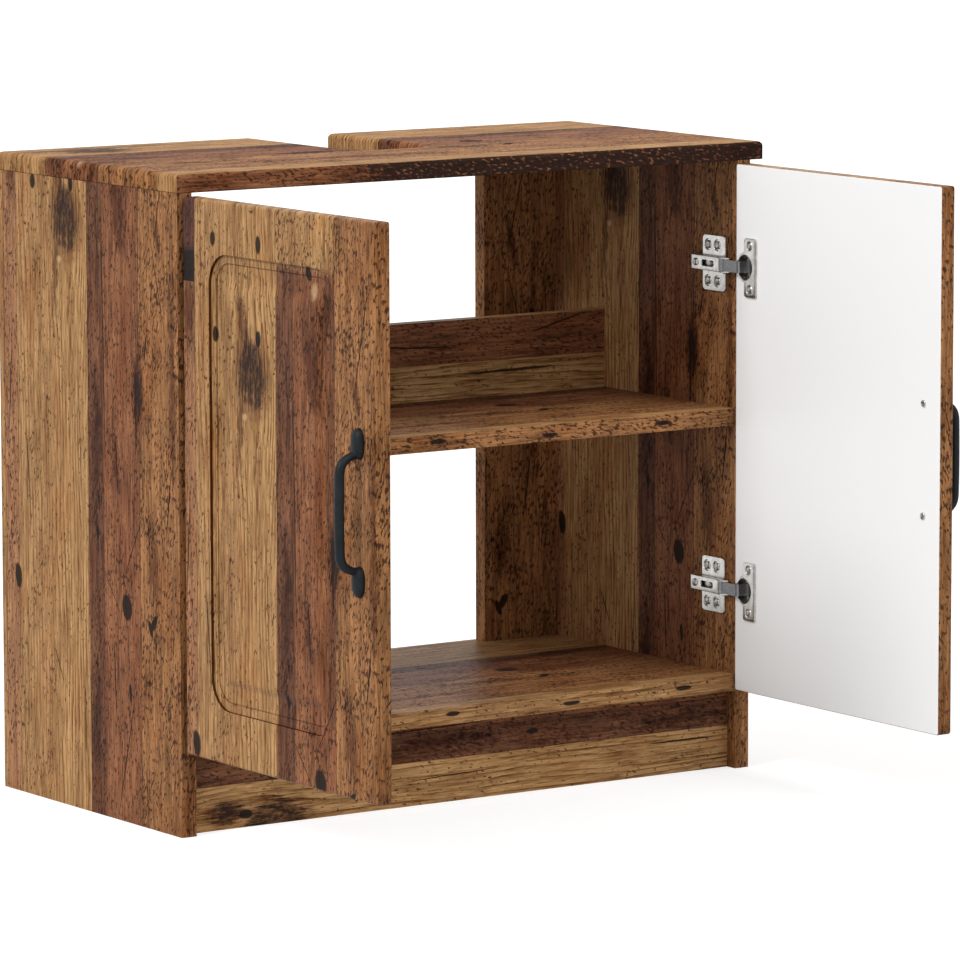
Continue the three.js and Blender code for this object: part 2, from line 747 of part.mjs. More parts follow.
// Pull handle, drawn on a door face at Y = 0 that looks towards -Y, middle of its height at 0.
function handleBody() {
  const halfSpacing = handleScrewSpacing / 2;
  const neckShares = [[0.05, 1], [0.3, 0.97], [0.66, 0.87], [0.86, 0.73], [0.95, 0.5], [1, 0]];
  const upper = neckShares.map(([out, up]) => [out * (handleReach - handleGripRadius / 2), up * halfSpacing]);
  const path = [...upper, ...upper.slice(0, -1).reverse().map(([out, up]) => [out, -up])];
  const curve = new THREE.CatmullRomCurve3(path.map(([out, up]) => new THREE.Vector3(0, -out, up)));
  const steps = 18;
  const sides = 8;
  const rings = [];
  for (let i = 0; i <= steps; i += 1) {
    const share = i / steps;
    const centre = curve.getPointAt(share);
    const along = curve.getTangentAt(share);
    const across = new THREE.Vector3(1, 0, 0);
    const outward = new THREE.Vector3().crossVectors(along, across);
    const swell = Math.sin(Math.PI * share) ** 2;
    const radius = handleNeckRadius + (handleGripRadius - handleNeckRadius) * swell;
    rings.push(Array.from({ length: sides }, (_, k) => {
      const angle = 2 * Math.PI * k / sides;
      return centre.clone()
        .addScaledVector(across, radius * Math.cos(angle))
        .addScaledVector(outward, radius * Math.sin(angle));
    }));
  }
  const grip = solid(loft(rings));
  const feet = [-1, 1].map((end) => solid(new THREE.SphereGeometry(1, 12, 8)
    .scale(handleFootWidth / 2, handleFootRise, handleFootLength / 2)
    .translate(0, 0, end * (halfSpacing + handleFootOffset))));
  const face = block(
    [-handleFootWidth, 0, -2 * halfSpacing], [handleFootWidth, 2 * handleReach, 2 * halfSpacing]);
  return join([grip, ...feet]).subtract(solid(face));
}

// Skin through rings of the same number of points, closed at both ends.
function loft(rings) {
  const sides = rings[0].length;
  const positions = rings.flat().flatMap((point) => [point.x, point.y, point.z]);
  const corners = [];
  for (let i = 0; i < rings.length - 1; i += 1) {
    for (let k = 0; k < sides; k += 1) {
      const [a, b] = [i * sides + k, i * sides + (k + 1) % sides];
      corners.push(a, b, b + sides, a, b + sides, a + sides);
    }
  }
  const last = (rings.length - 1) * sides;
  for (let k = 1; k < sides - 1; k += 1) {
    corners.push(0, k + 1, k, last, last + k, last + k + 1);
  }
  const geometry = new THREE.BufferGeometry();
  geometry.setAttribute('position', new THREE.Float32BufferAttribute(positions, 3));
  geometry.setIndex(corners);
  return geometry;
}

function handleScrewHole(height) {
  const [x, face] = doorPoint(handleInset, doorThickness);
  return solid(bar(
    handleScrewRadius + fitClearance, doorThickness + 2 * overrun, handleScrewSides,
    [x, face - overrun, height], onY));
}

function pullHandle() {
  const [x, face] = doorPoint(handleInset, doorThickness);
  const body = geometryOf(handleBody()).translate(x, face, doorBottomHeight + doorHeight / 2);
  return cut(solid(body), handleHeights.map((height) => solid(bar(
    handleScrewRadius + fitClearance, handleScrewDepth + fitClearance + overrun, handleScrewSides,
    [x, face - handleScrewDepth - fitClearance, height], onY))));
}

function handleScrew(height) {
  const [x, face] = doorPoint(handleInset, doorThickness);
  const length = handleScrewDepth + doorThickness;
  const headTop = length + handleScrewHeadHeight;
  return solid(turned([
    [0, 0], [handleScrewRadius, 0], [handleScrewRadius, length], [handleScrewHeadRadius, length],
    [handleScrewHeadRadius * handleScrewTopShare, headTop], [0, headTop],
  ], handleScrewSides, [x, face - handleScrewDepth, height], onY));
}

// Boards of the carcass.
addPart(carcass, 'top_panel', topPanel(), materials.decor);
for (const hand of hands) {
  addHanded(carcass, hand, `${hand.name}_side_panel`, sidePanel(), materials.decor);
}
addPart(carcass, 'bottom_panel', bottomPanel(), materials.decor);
addPart(carcass, 'middle_shelf', middleShelf(), materials.decor);
addPart(carcass, 'shelf_back_rail', shelfBackRail(), materials.decor);
addPart(carcass, 'plinth_board', plinthBoard(), materials.decor);
for (const hand of hands) {
  addHanded(carcass, hand, `${hand.name}_back_stile`, backStile(), materials.decor);
}

// Fittings inside the boards, and the doors with their hinges, on either hand.
for (const hand of hands) {
  for (const [place, distance] of Object.entries(topDowelPlaces)) {
    addHanded(carcass, hand, `${hand.name}_${place}_top_dowel`, topDowel(distance, 0), materials.dowel);
  }
  for (const deck of Object.keys(camHeights)) {
    addHanded(carcass, hand, `${hand.name}_${deck}_cam_lock`, camLock(deck, 0), materials.zinc);
    addHanded(carcass, hand, `${hand.name}_${deck}_cam_bolt`, camBolt(deck, 0), materials.zinc);
  }
  const door = new THREE.Group();
  door.position.set(hand.sign * (poleAtSide - halfInside), -poleForward, 0);
  door.rotation.z = -hand.sign * restOpening;
  carcass.add(door);
  addHanded(door, hand, `${hand.name}_door`, doorPanel(), materials.door);
  addHanded(door, hand, `${hand.name}_handle`, pullHandle(), materials.black);
  ['lower', 'upper'].forEach((level, i) => {
    const height = hingeHeights[i];
    const name = `${hand.name}_${level}`;
    addHanded(door, hand, `${name}_handle_screw`, handleScrew(handleHeights[i]), materials.zinc);
    addHanded(door, hand, `${name}_hinge_cup`, hingeCup(height), materials.nickel);
    addHanded(carcass, hand, `${name}_hinge_plate`, hingePlate(height), materials.nickel);
    addHanded(carcass, hand, `${name}_hinge_arm`, hingeArm(height), materials.nickel);
    addHanded(carcass, hand, `${name}_outer_link_pin`, armPin(height, outerPivot), materials.zinc);
    addHanded(carcass, hand, `${name}_inner_link_pin`, armPin(height, innerPivot), materials.zinc);
    addHanded(carcass, hand, `${name}_outer_link`, outerLink(height), materials.nickel);
    addHanded(carcass, hand, `${name}_inner_link`, innerLink(height), materials.nickel);
  });
}

export default vanity;
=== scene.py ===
import math

import bmesh
import bpy
from mathutils import Euler, Matrix, Vector
from mathutils.geometry import interpolate_bezier


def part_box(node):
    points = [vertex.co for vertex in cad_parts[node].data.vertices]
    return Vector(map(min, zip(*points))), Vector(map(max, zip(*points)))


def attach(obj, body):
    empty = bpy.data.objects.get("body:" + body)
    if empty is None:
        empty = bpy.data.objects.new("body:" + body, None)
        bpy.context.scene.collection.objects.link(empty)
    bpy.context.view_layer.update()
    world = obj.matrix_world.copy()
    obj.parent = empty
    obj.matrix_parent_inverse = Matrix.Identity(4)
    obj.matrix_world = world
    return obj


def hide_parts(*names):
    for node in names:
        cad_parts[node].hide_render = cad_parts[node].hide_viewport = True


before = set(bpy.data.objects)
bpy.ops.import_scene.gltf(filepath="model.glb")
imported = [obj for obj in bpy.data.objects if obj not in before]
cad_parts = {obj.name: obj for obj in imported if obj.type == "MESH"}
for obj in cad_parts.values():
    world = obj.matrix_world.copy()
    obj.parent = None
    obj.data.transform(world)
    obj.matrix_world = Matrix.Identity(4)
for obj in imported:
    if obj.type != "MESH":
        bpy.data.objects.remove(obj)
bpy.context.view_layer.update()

# Studio.
# A pale floor and a white backdrop, a broad lamp from the left, another from above the front and
# an even room light. The camera stands to the left of the unit, a little above it, with a long lens.
scene = bpy.context.scene
scene.view_settings.view_transform = "Standard"

PHOTO_PIXELS = 960
SENSOR_WIDTH = 36
FOCAL_PIXELS = 6297.7
CAMERA_PLACE = (-3.2445, -4.7932, 1.0702)
CAMERA_YAW = 0.5974
CAMERA_PITCH = -0.1325
CAMERA_ROLL = 0.0021
SIDE_SHIFT_PIXELS = 1.5

camera = bpy.data.objects.new("camera", bpy.data.cameras.new("camera"))
scene.collection.objects.link(camera)
camera.data.sensor_width = SENSOR_WIDTH
camera.data.lens = FOCAL_PIXELS * SENSOR_WIDTH / PHOTO_PIXELS
camera.data.shift_x = -SIDE_SHIFT_PIXELS / PHOTO_PIXELS
camera.data.clip_end = 40
turn = Euler((math.pi / 2 + CAMERA_PITCH, 0, -CAMERA_YAW)).to_matrix()
turn = turn @ Matrix.Rotation(-CAMERA_ROLL, 3, "Z")
camera.matrix_world = Matrix.Translation(CAMERA_PLACE) @ turn.to_4x4()
scene.camera = camera


def linear(code):
    """Linear colour of an sRGB hex value."""
    parts = [int(code[i:i + 2], 16) / 255 for i in (1, 3, 5)]
    return tuple(v / 12.92 if v <= 0.04045 else ((v + 0.055) / 1.055) ** 2.4 for v in parts) + (1,)


def node(tree, kind, inputs=None, **settings):
    """Adds a node, sets its settings, and fills its inputs or links them to a socket or a node."""
    made = tree.nodes.new("ShaderNode" + kind)
    for name, value in settings.items():
        setattr(made, name, value)
    for key, value in (inputs or {}).items():
        if isinstance(value, bpy.types.Node):
            value = value.outputs[0]
        if isinstance(value, bpy.types.NodeSocket):
            tree.links.new(value, made.inputs[key])
        else:
            made.inputs[key].default_value = value
    return made


def new_material(name):
    """Material with an empty node tree."""
    material = bpy.data.materials.new(name)
    material.use_nodes = True
    material.node_tree.nodes.clear()
    return material, material.node_tree


def finish_material(tree, surface):
    """Links a shader to the output."""
    node(tree, "OutputMaterial", {"Surface": surface})


ROOM_LIGHT = 0.56
LAMPS = [
    ("side_lamp", (0.77, 0.08, -0.63), 1.80, 24),
    ("front_lamp", (-0.08, 0.58, -0.81), 1.0, 24),
]

room = bpy.data.worlds.new("room")
scene.world = room
room.use_nodes = True
tree = room.node_tree
tree.nodes.clear()
rays = node(tree, "LightPath")
seen = node(tree, "Math", {
    0: rays.outputs["Is Camera Ray"], 1: rays.outputs["Is Glossy Ray"]}, operation="MAXIMUM")
seen = node(tree, "Math", {0: seen, 1: rays.outputs["Is Transmission Ray"]}, operation="MAXIMUM")
strength = node(tree, "MapRange", {"Value": seen, "To Min": ROOM_LIGHT, "To Max": 1.0})
backdrop = node(tree, "Background", {"Color": linear("#ffffff"), "Strength": strength})
node(tree, "OutputWorld", {"Surface": backdrop})

for name, direction, power, angle in LAMPS:
    lamp = bpy.data.objects.new(name, bpy.data.lights.new(name, "SUN"))
    lamp.data.energy = power
    lamp.data.angle = math.radians(angle)
    lamp.rotation_euler = Vector(direction).to_track_quat("-Z", "Y").to_euler()
    scene.collection.objects.link(lamp)

FLOOR_HALF_SIZE = 12
FLOOR_LIFT = 0.62

floor_shape = bmesh.new()
bmesh.ops.create_grid(floor_shape, x_segments=1, y_segments=1, size=FLOOR_HALF_SIZE)
floor = bpy.data.objects.new("studio_floor", bpy.data.meshes.new("studio_floor"))
floor_shape.to_mesh(floor.data)
floor_shape.free()
scene.collection.objects.link(floor)

# A matt floor gives no mirror image, only the soft shadow. Some glow keeps it nearly white.
material, tree = new_material("matt_floor")
rays = node(tree, "LightPath")
seen = node(tree, "Math", {
    0: rays.outputs["Is Camera Ray"], 1: rays.outputs["Is Glossy Ray"]}, operation="MAXIMUM")
lift = node(tree, "Math", {0: seen, 1: FLOOR_LIFT}, operation="MULTIPLY")
matt = node(tree, "BsdfDiffuse", {"Color": linear("#c4c4c4")})
glow = node(tree, "Emission", {"Color": linear("#ffffff"), "Strength": lift})
both = node(tree, "AddShader", {0: matt, 1: glow})
finish_material(tree, both)
floor.data.materials.append(material)


# Reclaimed plank print.
# Chipboard is coated with melamine paper that is printed with old softwood planks and then
# pressed satin. The print has its own frame in millimetres: across the planks, and along them.
def print_place(tree, across, along, start):
    """Vector (across, along, 0) of the print from object coordinates, in millimetres."""
    where = node(tree, "TexCoord").outputs["Object"]
    sides = []
    for axis, offset in zip((across, along), start):
        dot = node(tree, "VectorMath", {0: where, 1: axis}, operation="DOT_PRODUCT")
        sides.append(node(tree, "Math", {
            0: dot.outputs["Value"], 1: 1000.0, 2: offset}, operation="MULTIPLY_ADD"))
    return node(tree, "CombineXYZ", {"X": sides[0], "Y": sides[1]})


def plank_tones(tree, share, colours):
    """One colour for each plank, from the plank's share of the whole row."""
    ramp = node(tree, "ValToRGB", {"Fac": share})
    ramp.color_ramp.interpolation = "CONSTANT"
    elements = ramp.color_ramp.elements
    elements.remove(elements[1])
    elements[0].position = 0
    elements[0].color = colours[0]
    for count, colour in enumerate(colours[1:], 1):
        elements.new(count / len(colours)).color = colour
    return ramp.outputs["Color"]


def stained(tree, colour, share, tint):
    """Colour with a share of a tint: four values cover what is there, three multiply it."""
    if len(tint) == 3:
        tint = node(tree, "VectorMath", {0: colour, 1: tint}, operation="MULTIPLY")
    return node(tree, "Mix", {"Factor": share, 6: colour, 7: tint}, data_type="RGBA").outputs[2]


def streaks(tree, place, width, length, detail, roughness=0.55, turn_degrees=0):
    """Noise whose grains have a width and a length in millimetres."""
    spot = node(tree, "Mapping", {
        "Vector": place, "Rotation": (0, 0, math.radians(turn_degrees)),
        "Scale": (width, length, 1)}, vector_type="TEXTURE")
    return node(tree, "TexNoise", {"Vector": spot, "Scale": 1, "Detail": detail, "Roughness": roughness})


def marks_nearness(tree, place, marks):
    """Smallest scaled distance to any mark's middle: (across, along, half width, half length, turn)."""
    nearest = None
    for across, along, half_width, half_length, turn_degrees in marks:
        cosine, sine = math.cos(math.radians(turn_degrees)), math.sin(math.radians(turn_degrees))
        middle = Vector((across, along, 0))
        axes = [Vector((cosine, sine, 0)) / half_width, Vector((-sine, cosine, 0)) / half_length]
        sides = [node(tree, "VectorMath", {
            0: place, 1: axis}, operation="DOT_PRODUCT").outputs["Value"] for axis in axes]
        spot = node(tree, "CombineXYZ", {"X": sides[0], "Y": sides[1]})
        target = (axes[0].dot(middle), axes[1].dot(middle), 0)
        distance = node(tree, "VectorMath", {0: spot, 1: target}, operation="DISTANCE").outputs["Value"]
        nearest = distance if nearest is None else node(tree, "Math", {
            0: nearest, 1: distance}, operation="MINIMUM")
    return nearest


# Each kind of plank is (light tone, dark tone, ring strength, fleck share). Planks are listed by
# where they begin. The last one begins past every board: it is the piece after the strip's joint.
TAN = ("#bf9564", "#6e4524", 1.0, 0.14)
SOFT_TAN = ("#bb9061", "#6a4526", 0.60, 0.30)
REDDISH = ("#9a6545", "#47291b", 0.18, 0.56)
REDDISH_DARK = ("#7d523b", "#382217", 0.14, 0.66)
FLECKED = ("#b47f52", "#573922", 0.14, 0.66)
STRIP = ("#b5835d", "#6b4630", 0.14, 0.50)
STRIP_END = ("#6d4a40", "#3a2722", 0.10, 0.40)
PAST_ALL = 9000
PLANKS = [
    (-160, FLECKED), (-70, SOFT_TAN), (-25, STRIP), (0, SOFT_TAN), (70, TAN), (134, REDDISH_DARK),
    (162, REDDISH), (228, FLECKED), (330, TAN), (460, REDDISH), (560, FLECKED), (PAST_ALL, STRIP_END),
]
STRIP_LIMITS = (-25, 0)
STRIP_JOINT = 621
BOARD_LIMITS = (134, 228)
BOARD_JOINT = 646
SEAMS = [-160, -70, -25, 0, 134, 228, 330, 460, 560]
SEAM_HALF_WIDTH = 0.45
RING_SPACING = 6.0
RING_WANDER = 34.0
RING_RAGGEDNESS = 1.3
RING_SHARPNESS = 2.6
RING_MEAN = 0.28
KNOT_BEND = 0.85
KNOT_RINGS = 17.0
PLANK_NOISE_STEP = 900.0
SEED_NOISE_STEP = 137.0
TONE_OFFSET = -1.9
PRINT_HOLES = [
    (33, 577, 4.6, 7, 0), (105, 579, 4.2, 7, 0), (31, 662, 4.0, 7, 0), (106, 662, 4.2, 8, 0),
    (186, 643, 4.4, 7, 20), (203, 199, 9, 12, 10), (-2, 205, 6, 12, 10), (252, 190, 4, 9, -34),
    (246, 184, 3, 8, 24), (150, 262, 2.6, 7, 0), (208, 120, 2.6, 9, 6),
]
PRINT_KNOTS = [(94, 546, 25, 33, 6), (226, 398, 9, 22, 0)]
PRINT_SMUDGES = [
    (80, 590, 9, 46, 16), (74, 492, 7, 52, -4), (150, 350, 10, 90, 0), (226, 398, 12, 60, 0),
    (250, 245, 12, 50, 4), (186, 330, 6, 34, 4), (192, 560, 16, 60, 6), (214, 610, 8, 30, -10),
    (288, 420, 9, 150, 0), (-10, 600, 14, 60, 0), (146, 90, 10, 70, 0), (262, 545, 7, 34, 12),
]
PRINT_CHIPS = [(195, 628, 5.5, 8, -10), (82, 508, 4.5, 3.5, 0)]
PRINT_CRACKS = [
    (163, 430, 0.8, 110, 1), (186, 330, 1.0, 26, 3), (222, 385, 1.2, 40, 0), (240, 440, 1.4, 13, -12),
    (200, 60, 0.8, 62, -16), (124, 90, 0.9, 36, 0), (75, 130, 0.7, 18, 28), (180, 130, 1.0, 34, 2),
    (270, 590, 0.7, 62, -13), (262, 500, 0.6, 44, 16), (212, 250, 0.7, 40, -30), (176, 210, 0.6, 30, 38),
    (20, 300, 0.7, 46, 5), (-14, 380, 0.9, 40, -4), (118, 350, 0.6, 50, 2), (280, 300, 0.9, 32, -8),
    (449, 146, 1.3, 55, 1), (478, 270, 0.9, 60, -3), (492, 90, 0.9, 34, 14), (436, 420, 0.8, 70, 0),
]
NAIL_TINT = linear("#1e1917")
# Dark of the cracks and seams in the print, also used for the painted shade at the top's joint.
CRACK_AND_SHADE_TINT = linear("#2c1c16")
KNOT_TINT = linear("#281a18")
BURN_TINT = linear("#2b201d")
CHIP_TINT = linear("#d3ae83")
FLECK_TINT = linear("#3a2117")
SCAR_TINT = linear("#251815")
RUSTY = (0.82, 0.68, 0.58)
CREAMY = (1.22, 1.26, 1.32)
PATCHY = (1.34, 1.42, 1.36)
PALE = (1.34, 1.38, 1.42)
DAMP = (0.5, 0.43, 0.42)
SMUDGED = (0.34, 0.27, 0.27)
HALO = (0.5, 0.4, 0.38)
KNOT_RING = (0.5, 0.42, 0.4)


def plank_print(tree, place, seed, holes, knots, smudges, cracks, burns=()):
    """Colour and pressed depth of the print."""
    parts = node(tree, "SeparateXYZ", {0: place})
    across, along = parts.outputs["X"], parts.outputs["Y"]
    passed, seam = None, None
    for begin, kind in PLANKS[1:]:
        over = node(tree, "Math", {0: across, 1: begin}, operation="GREATER_THAN")
        passed = over if passed is None else node(tree, "Math", {0: passed, 1: over}, operation="ADD")
    for begin in SEAMS:
        away = node(tree, "Math", {0: across, 1: begin}, operation="SUBTRACT")
        away = node(tree, "Math", {0: away}, operation="ABSOLUTE")
        seam = away if seam is None else node(tree, "Math", {0: seam, 1: away}, operation="MINIMUM")
    insides = []
    for begin, end in (STRIP_LIMITS, BOARD_LIMITS):
        over = node(tree, "Math", {0: across, 1: begin}, operation="GREATER_THAN")
        under = node(tree, "Math", {0: across, 1: end}, operation="LESS_THAN")
        insides.append(node(tree, "Math", {0: over, 1: under}, operation="MULTIPLY"))
    in_strip, in_board = insides

    # The narrow strip ends at a joint. Past it another, nearly black piece begins.
    beyond = node(tree, "Math", {0: along, 1: STRIP_JOINT}, operation="SUBTRACT")
    over = node(tree, "Math", {0: beyond, 1: 0.0}, operation="GREATER_THAN")
    scorched = node(tree, "Math", {0: in_strip, 1: over}, operation="MULTIPLY")
    passed = node(tree, "Math", {0: scorched, 1: len(PLANKS), 2: passed}, operation="MULTIPLY_ADD")
    passed = node(tree, "Math", {0: passed, 1: len(PLANKS) - 1.0}, operation="MINIMUM")
    share = node(tree, "Math", {
        0: passed, 1: 1 / len(PLANKS), 2: 0.5 / len(PLANKS)}, operation="MULTIPLY_ADD")

    # The reddish board ends at a joint too, with a tan one after it.
    past_joint = node(tree, "MapRange", {
        "Value": along, "From Min": BOARD_JOINT - 4, "From Max": BOARD_JOINT + 4})
    tan_end = node(tree, "Math", {0: in_board, 1: past_joint}, operation="MULTIPLY")
    tones = [stained(
        tree, plank_tones(tree, share, [linear(kind[depth]) for begin, kind in PLANKS]), tan_end,
        linear(SOFT_TAN[depth])) for depth in (0, 1)]
    figure = node(tree, "SeparateColor", {0: plank_tones(tree, share, [
        (kind[2], kind[3], count * 0.17 % 1, 1) for count, (begin, kind) in enumerate(PLANKS)])})

    # Each plank has its own place in the noise.
    offset = node(tree, "Math", {
        0: figure.outputs["Blue"], 1: PLANK_NOISE_STEP, 2: seed * SEED_NOISE_STEP},
        operation="MULTIPLY_ADD")
    own = node(tree, "CombineXYZ", {"X": across, "Y": along, "Z": offset})

    # Rings wander slowly across the plank and bend round the knots.
    bent = across
    for knot in knots:
        middle, height, half_width, half_length = knot[:4]
        local = node(tree, "Mapping", {
            "Vector": place, "Location": (middle, height, 0),
            "Scale": (half_width, half_length * 1.8, 1000000)}, vector_type="TEXTURE")
        squared = node(tree, "VectorMath", {0: local, 1: local}, operation="DOT_PRODUCT")
        fall = node(tree, "Math", {0: squared.outputs["Value"], 1: -0.5}, operation="MULTIPLY")
        fall = node(tree, "Math", {0: fall}, operation="EXPONENT")
        side = node(tree, "SeparateXYZ", {0: local})
        push = node(tree, "Math", {0: side.outputs["X"], 1: fall}, operation="MULTIPLY")
        bent = node(tree, "Math", {
            0: push, 1: -KNOT_BEND * half_width, 2: bent}, operation="MULTIPLY_ADD")
    wander = streaks(tree, own, 75, 420, 2)
    waved = node(tree, "Math", {0: wander, 1: RING_WANDER, 2: bent}, operation="MULTIPLY_ADD")
    ragged = streaks(tree, own, 5, 160, 3)
    phase = node(tree, "Math", {0: waved, 1: 1 / RING_SPACING}, operation="MULTIPLY")
    phase = node(tree, "Math", {0: ragged, 1: RING_RAGGEDNESS, 2: phase}, operation="MULTIPLY_ADD")
    saw = node(tree, "Math", {0: phase}, operation="FRACT")
    rings = node(tree, "Math", {0: saw, 1: RING_SHARPNESS}, operation="POWER")
    rings = node(tree, "Math", {0: rings, 1: RING_MEAN}, operation="SUBTRACT")
    rings = node(tree, "Math", {0: rings, 1: figure.outputs["Red"]}, operation="MULTIPLY")

    # Fibres, bands and clouds make the wood lighter or darker. Real fibres are finer than the
    # render can show, so these are drawn as coarse as they need to be to show.
    fibre = streaks(tree, own, 1.7, 30, 3)
    band = streaks(tree, own, 6.5, 130, 4, 0.6)
    cloud = streaks(tree, own, 30, 95, 4, 0.6)
    clear = node(tree, "MapRange", {"Value": cloud, "From Min": 0.62, "From Max": 0.42})
    vivid = node(tree, "Math", {0: rings, 1: clear}, operation="MULTIPLY")
    depth = node(tree, "Math", {0: vivid, 1: 1.15, 2: TONE_OFFSET}, operation="MULTIPLY_ADD")
    for grain, weight in ((fibre, 2.0), (band, 1.7), (cloud, 0.9)):
        depth = node(tree, "Math", {0: grain, 1: weight, 2: depth}, operation="MULTIPLY_ADD")
    colour = node(tree, "Mix", {"Factor": depth, 6: tones[0], 7: tones[1]}, data_type="RGBA").outputs[2]
    clouds = node(tree, "SeparateColor", {0: cloud.outputs["Color"]})
    rusty = node(tree, "MapRange", {
        "Value": clouds.outputs["Green"], "From Min": 0.5, "From Max": 0.66, "To Max": 0.8})
    creamy = node(tree, "MapRange", {
        "Value": clouds.outputs["Blue"], "From Min": 0.54, "From Max": 0.68, "To Max": 0.7})
    creamy = node(tree, "Math", {0: creamy, 1: figure.outputs["Red"]}, operation="MULTIPLY")
    patchy = node(tree, "MapRange", {
        "Value": clouds.outputs["Blue"], "From Min": 0.52, "From Max": 0.6, "To Max": 0.65})
    patchy = node(tree, "Math", {0: in_board, 1: patchy}, operation="MULTIPLY")

    # Flecks gather in clusters, most of all on the reddish planks. They are short, dark and slanted.
    cluster = node(tree, "SeparateColor", {0: streaks(tree, own, 24, 52, 4, 0.65).outputs["Color"]})
    crowd = node(tree, "Math", {0: cluster.outputs["Red"], 1: 2.6, 2: -1.3}, operation="MULTIPLY_ADD")
    crowd = node(tree, "Math", {0: crowd, 1: figure.outputs["Green"]}, operation="ADD")
    speck = streaks(tree, own, 2.4, 6.0, 2, 0.5, -14)
    chance = node(tree, "Math", {0: crowd, 1: 0.16, 2: speck}, operation="MULTIPLY_ADD")
    flecks = node(tree, "MapRange", {
        "Value": chance, "From Min": 0.655, "From Max": 0.715, "To Max": 0.85})
    dash = streaks(tree, own, 1.6, 17, 1, 0.5, 3)
    dashes = node(tree, "MapRange", {"Value": dash, "From Min": 0.62, "From Max": 0.72, "To Max": 0.55})
    pale = node(tree, "MapRange", {"Value": dash, "From Min": 0.4, "From Max": 0.28, "To Max": 0.75})
    torn = streaks(tree, own, 4.8, 15, 5, 0.7, -6)
    chance = node(tree, "Math", {0: crowd, 1: 0.14, 2: torn}, operation="MULTIPLY_ADD")
    scars = node(tree, "MapRange", {"Value": chance, "From Min": 0.7, "From Max": 0.76, "To Max": 0.93})
    crowded = node(tree, "MapRange", {"Value": crowd, "From Min": 0.55, "From Max": 1.15, "To Max": 0.55})
    damp = node(tree, "MapRange", {"Value": cluster.outputs["Green"], "From Min": 0.44, "From Max": 0.6})
    damp = node(tree, "Math", {0: crowded, 1: damp}, operation="MULTIPLY")
    dark = node(tree, "Math", {0: flecks, 1: dashes}, operation="MAXIMUM")
    for share, tint in (
            (rusty, RUSTY), (creamy, CREAMY), (patchy, PATCHY), (pale, PALE), (damp, DAMP),
            (dark, FLECK_TINT), (scars, SCAR_TINT)):
        colour = stained(tree, colour, share, tint)
    pressed = node(tree, "Math", {0: flecks, 1: scars}, operation="MAXIMUM")

    # Smudges are soft and streaky, and a burn is black with rust specks in it. Both have torn ends.
    rough = node(tree, "TexNoise", {"Vector": own, "Scale": 1 / 9, "Detail": 4, "Roughness": 0.65})
    jitter = node(tree, "VectorMath", {
        0: rough.outputs["Color"], 1: (11.0, 22.0, 0), 2: (-5.5, -11.0, 0)},
        operation="MULTIPLY_ADD")
    moved = node(tree, "VectorMath", {0: place, 1: jitter}, operation="ADD")
    if smudges:
        near = node(tree, "Math", {
            0: torn, 1: -2.6, 2: marks_nearness(tree, moved, smudges)},
            operation="MULTIPLY_ADD")
        smudge = node(tree, "MapRange", {
            "Value": near, "From Min": -0.3, "From Max": -0.95, "To Max": 0.9})
        colour = stained(tree, colour, smudge, SMUDGED)
    if burns:
        near = node(tree, "Math", {
            0: torn, 1: 1.2, 2: marks_nearness(tree, moved, burns)},
            operation="MULTIPLY_ADD")
        burnt = node(tree, "MapRange", {
            "Value": near, "From Min": 1.75, "From Max": 1.55, "To Max": 0.95})
        whole = node(tree, "MapRange", {"Value": speck, "From Min": 0.34, "From Max": 0.43})
        burnt = node(tree, "Math", {0: burnt, 1: whole}, operation="MULTIPLY")
        colour = stained(tree, colour, burnt, BURN_TINT)

    # A knot is a mottled dark core with rings and a soft halo about it.
    if knots:
        near = node(tree, "Math", {0: marks_nearness(tree, moved, knots), 1: -0.25}, operation="ADD")
        near = node(tree, "Math", {0: band, 1: 0.5, 2: near}, operation="MULTIPLY_ADD")
        halo = node(tree, "MapRange", {"Value": near, "From Min": 1.45, "From Max": 0.8, "To Max": 0.6})
        wave = node(tree, "Math", {0: near, 1: KNOT_RINGS}, operation="MULTIPLY")
        wave = node(tree, "Math", {0: wave}, operation="SINE")
        wave = node(tree, "MapRange", {"Value": wave, "From Min": -0.2, "From Max": 1.0, "To Max": 0.5})
        around = node(tree, "MapRange", {"Value": near, "From Min": 1.5, "From Max": 0.9})
        wave = node(tree, "Math", {0: wave, 1: around}, operation="MULTIPLY")
        near = node(tree, "Math", {0: near, 1: 0.8}, operation="ADD")
        near = node(tree, "Math", {0: fibre, 1: -1.6, 2: near}, operation="MULTIPLY_ADD")
        core = node(tree, "MapRange", {"Value": near, "From Min": 1.12, "From Max": 0.7, "To Max": 0.95})
        mottle = node(tree, "MapRange", {"Value": torn, "From Min": 0.24, "From Max": 0.56})
        core = node(tree, "Math", {0: core, 1: mottle}, operation="MULTIPLY")
        for share, tint in ((halo, HALO), (wave, KNOT_RING), (core, KNOT_TINT)):
            colour = stained(tree, colour, share, tint)

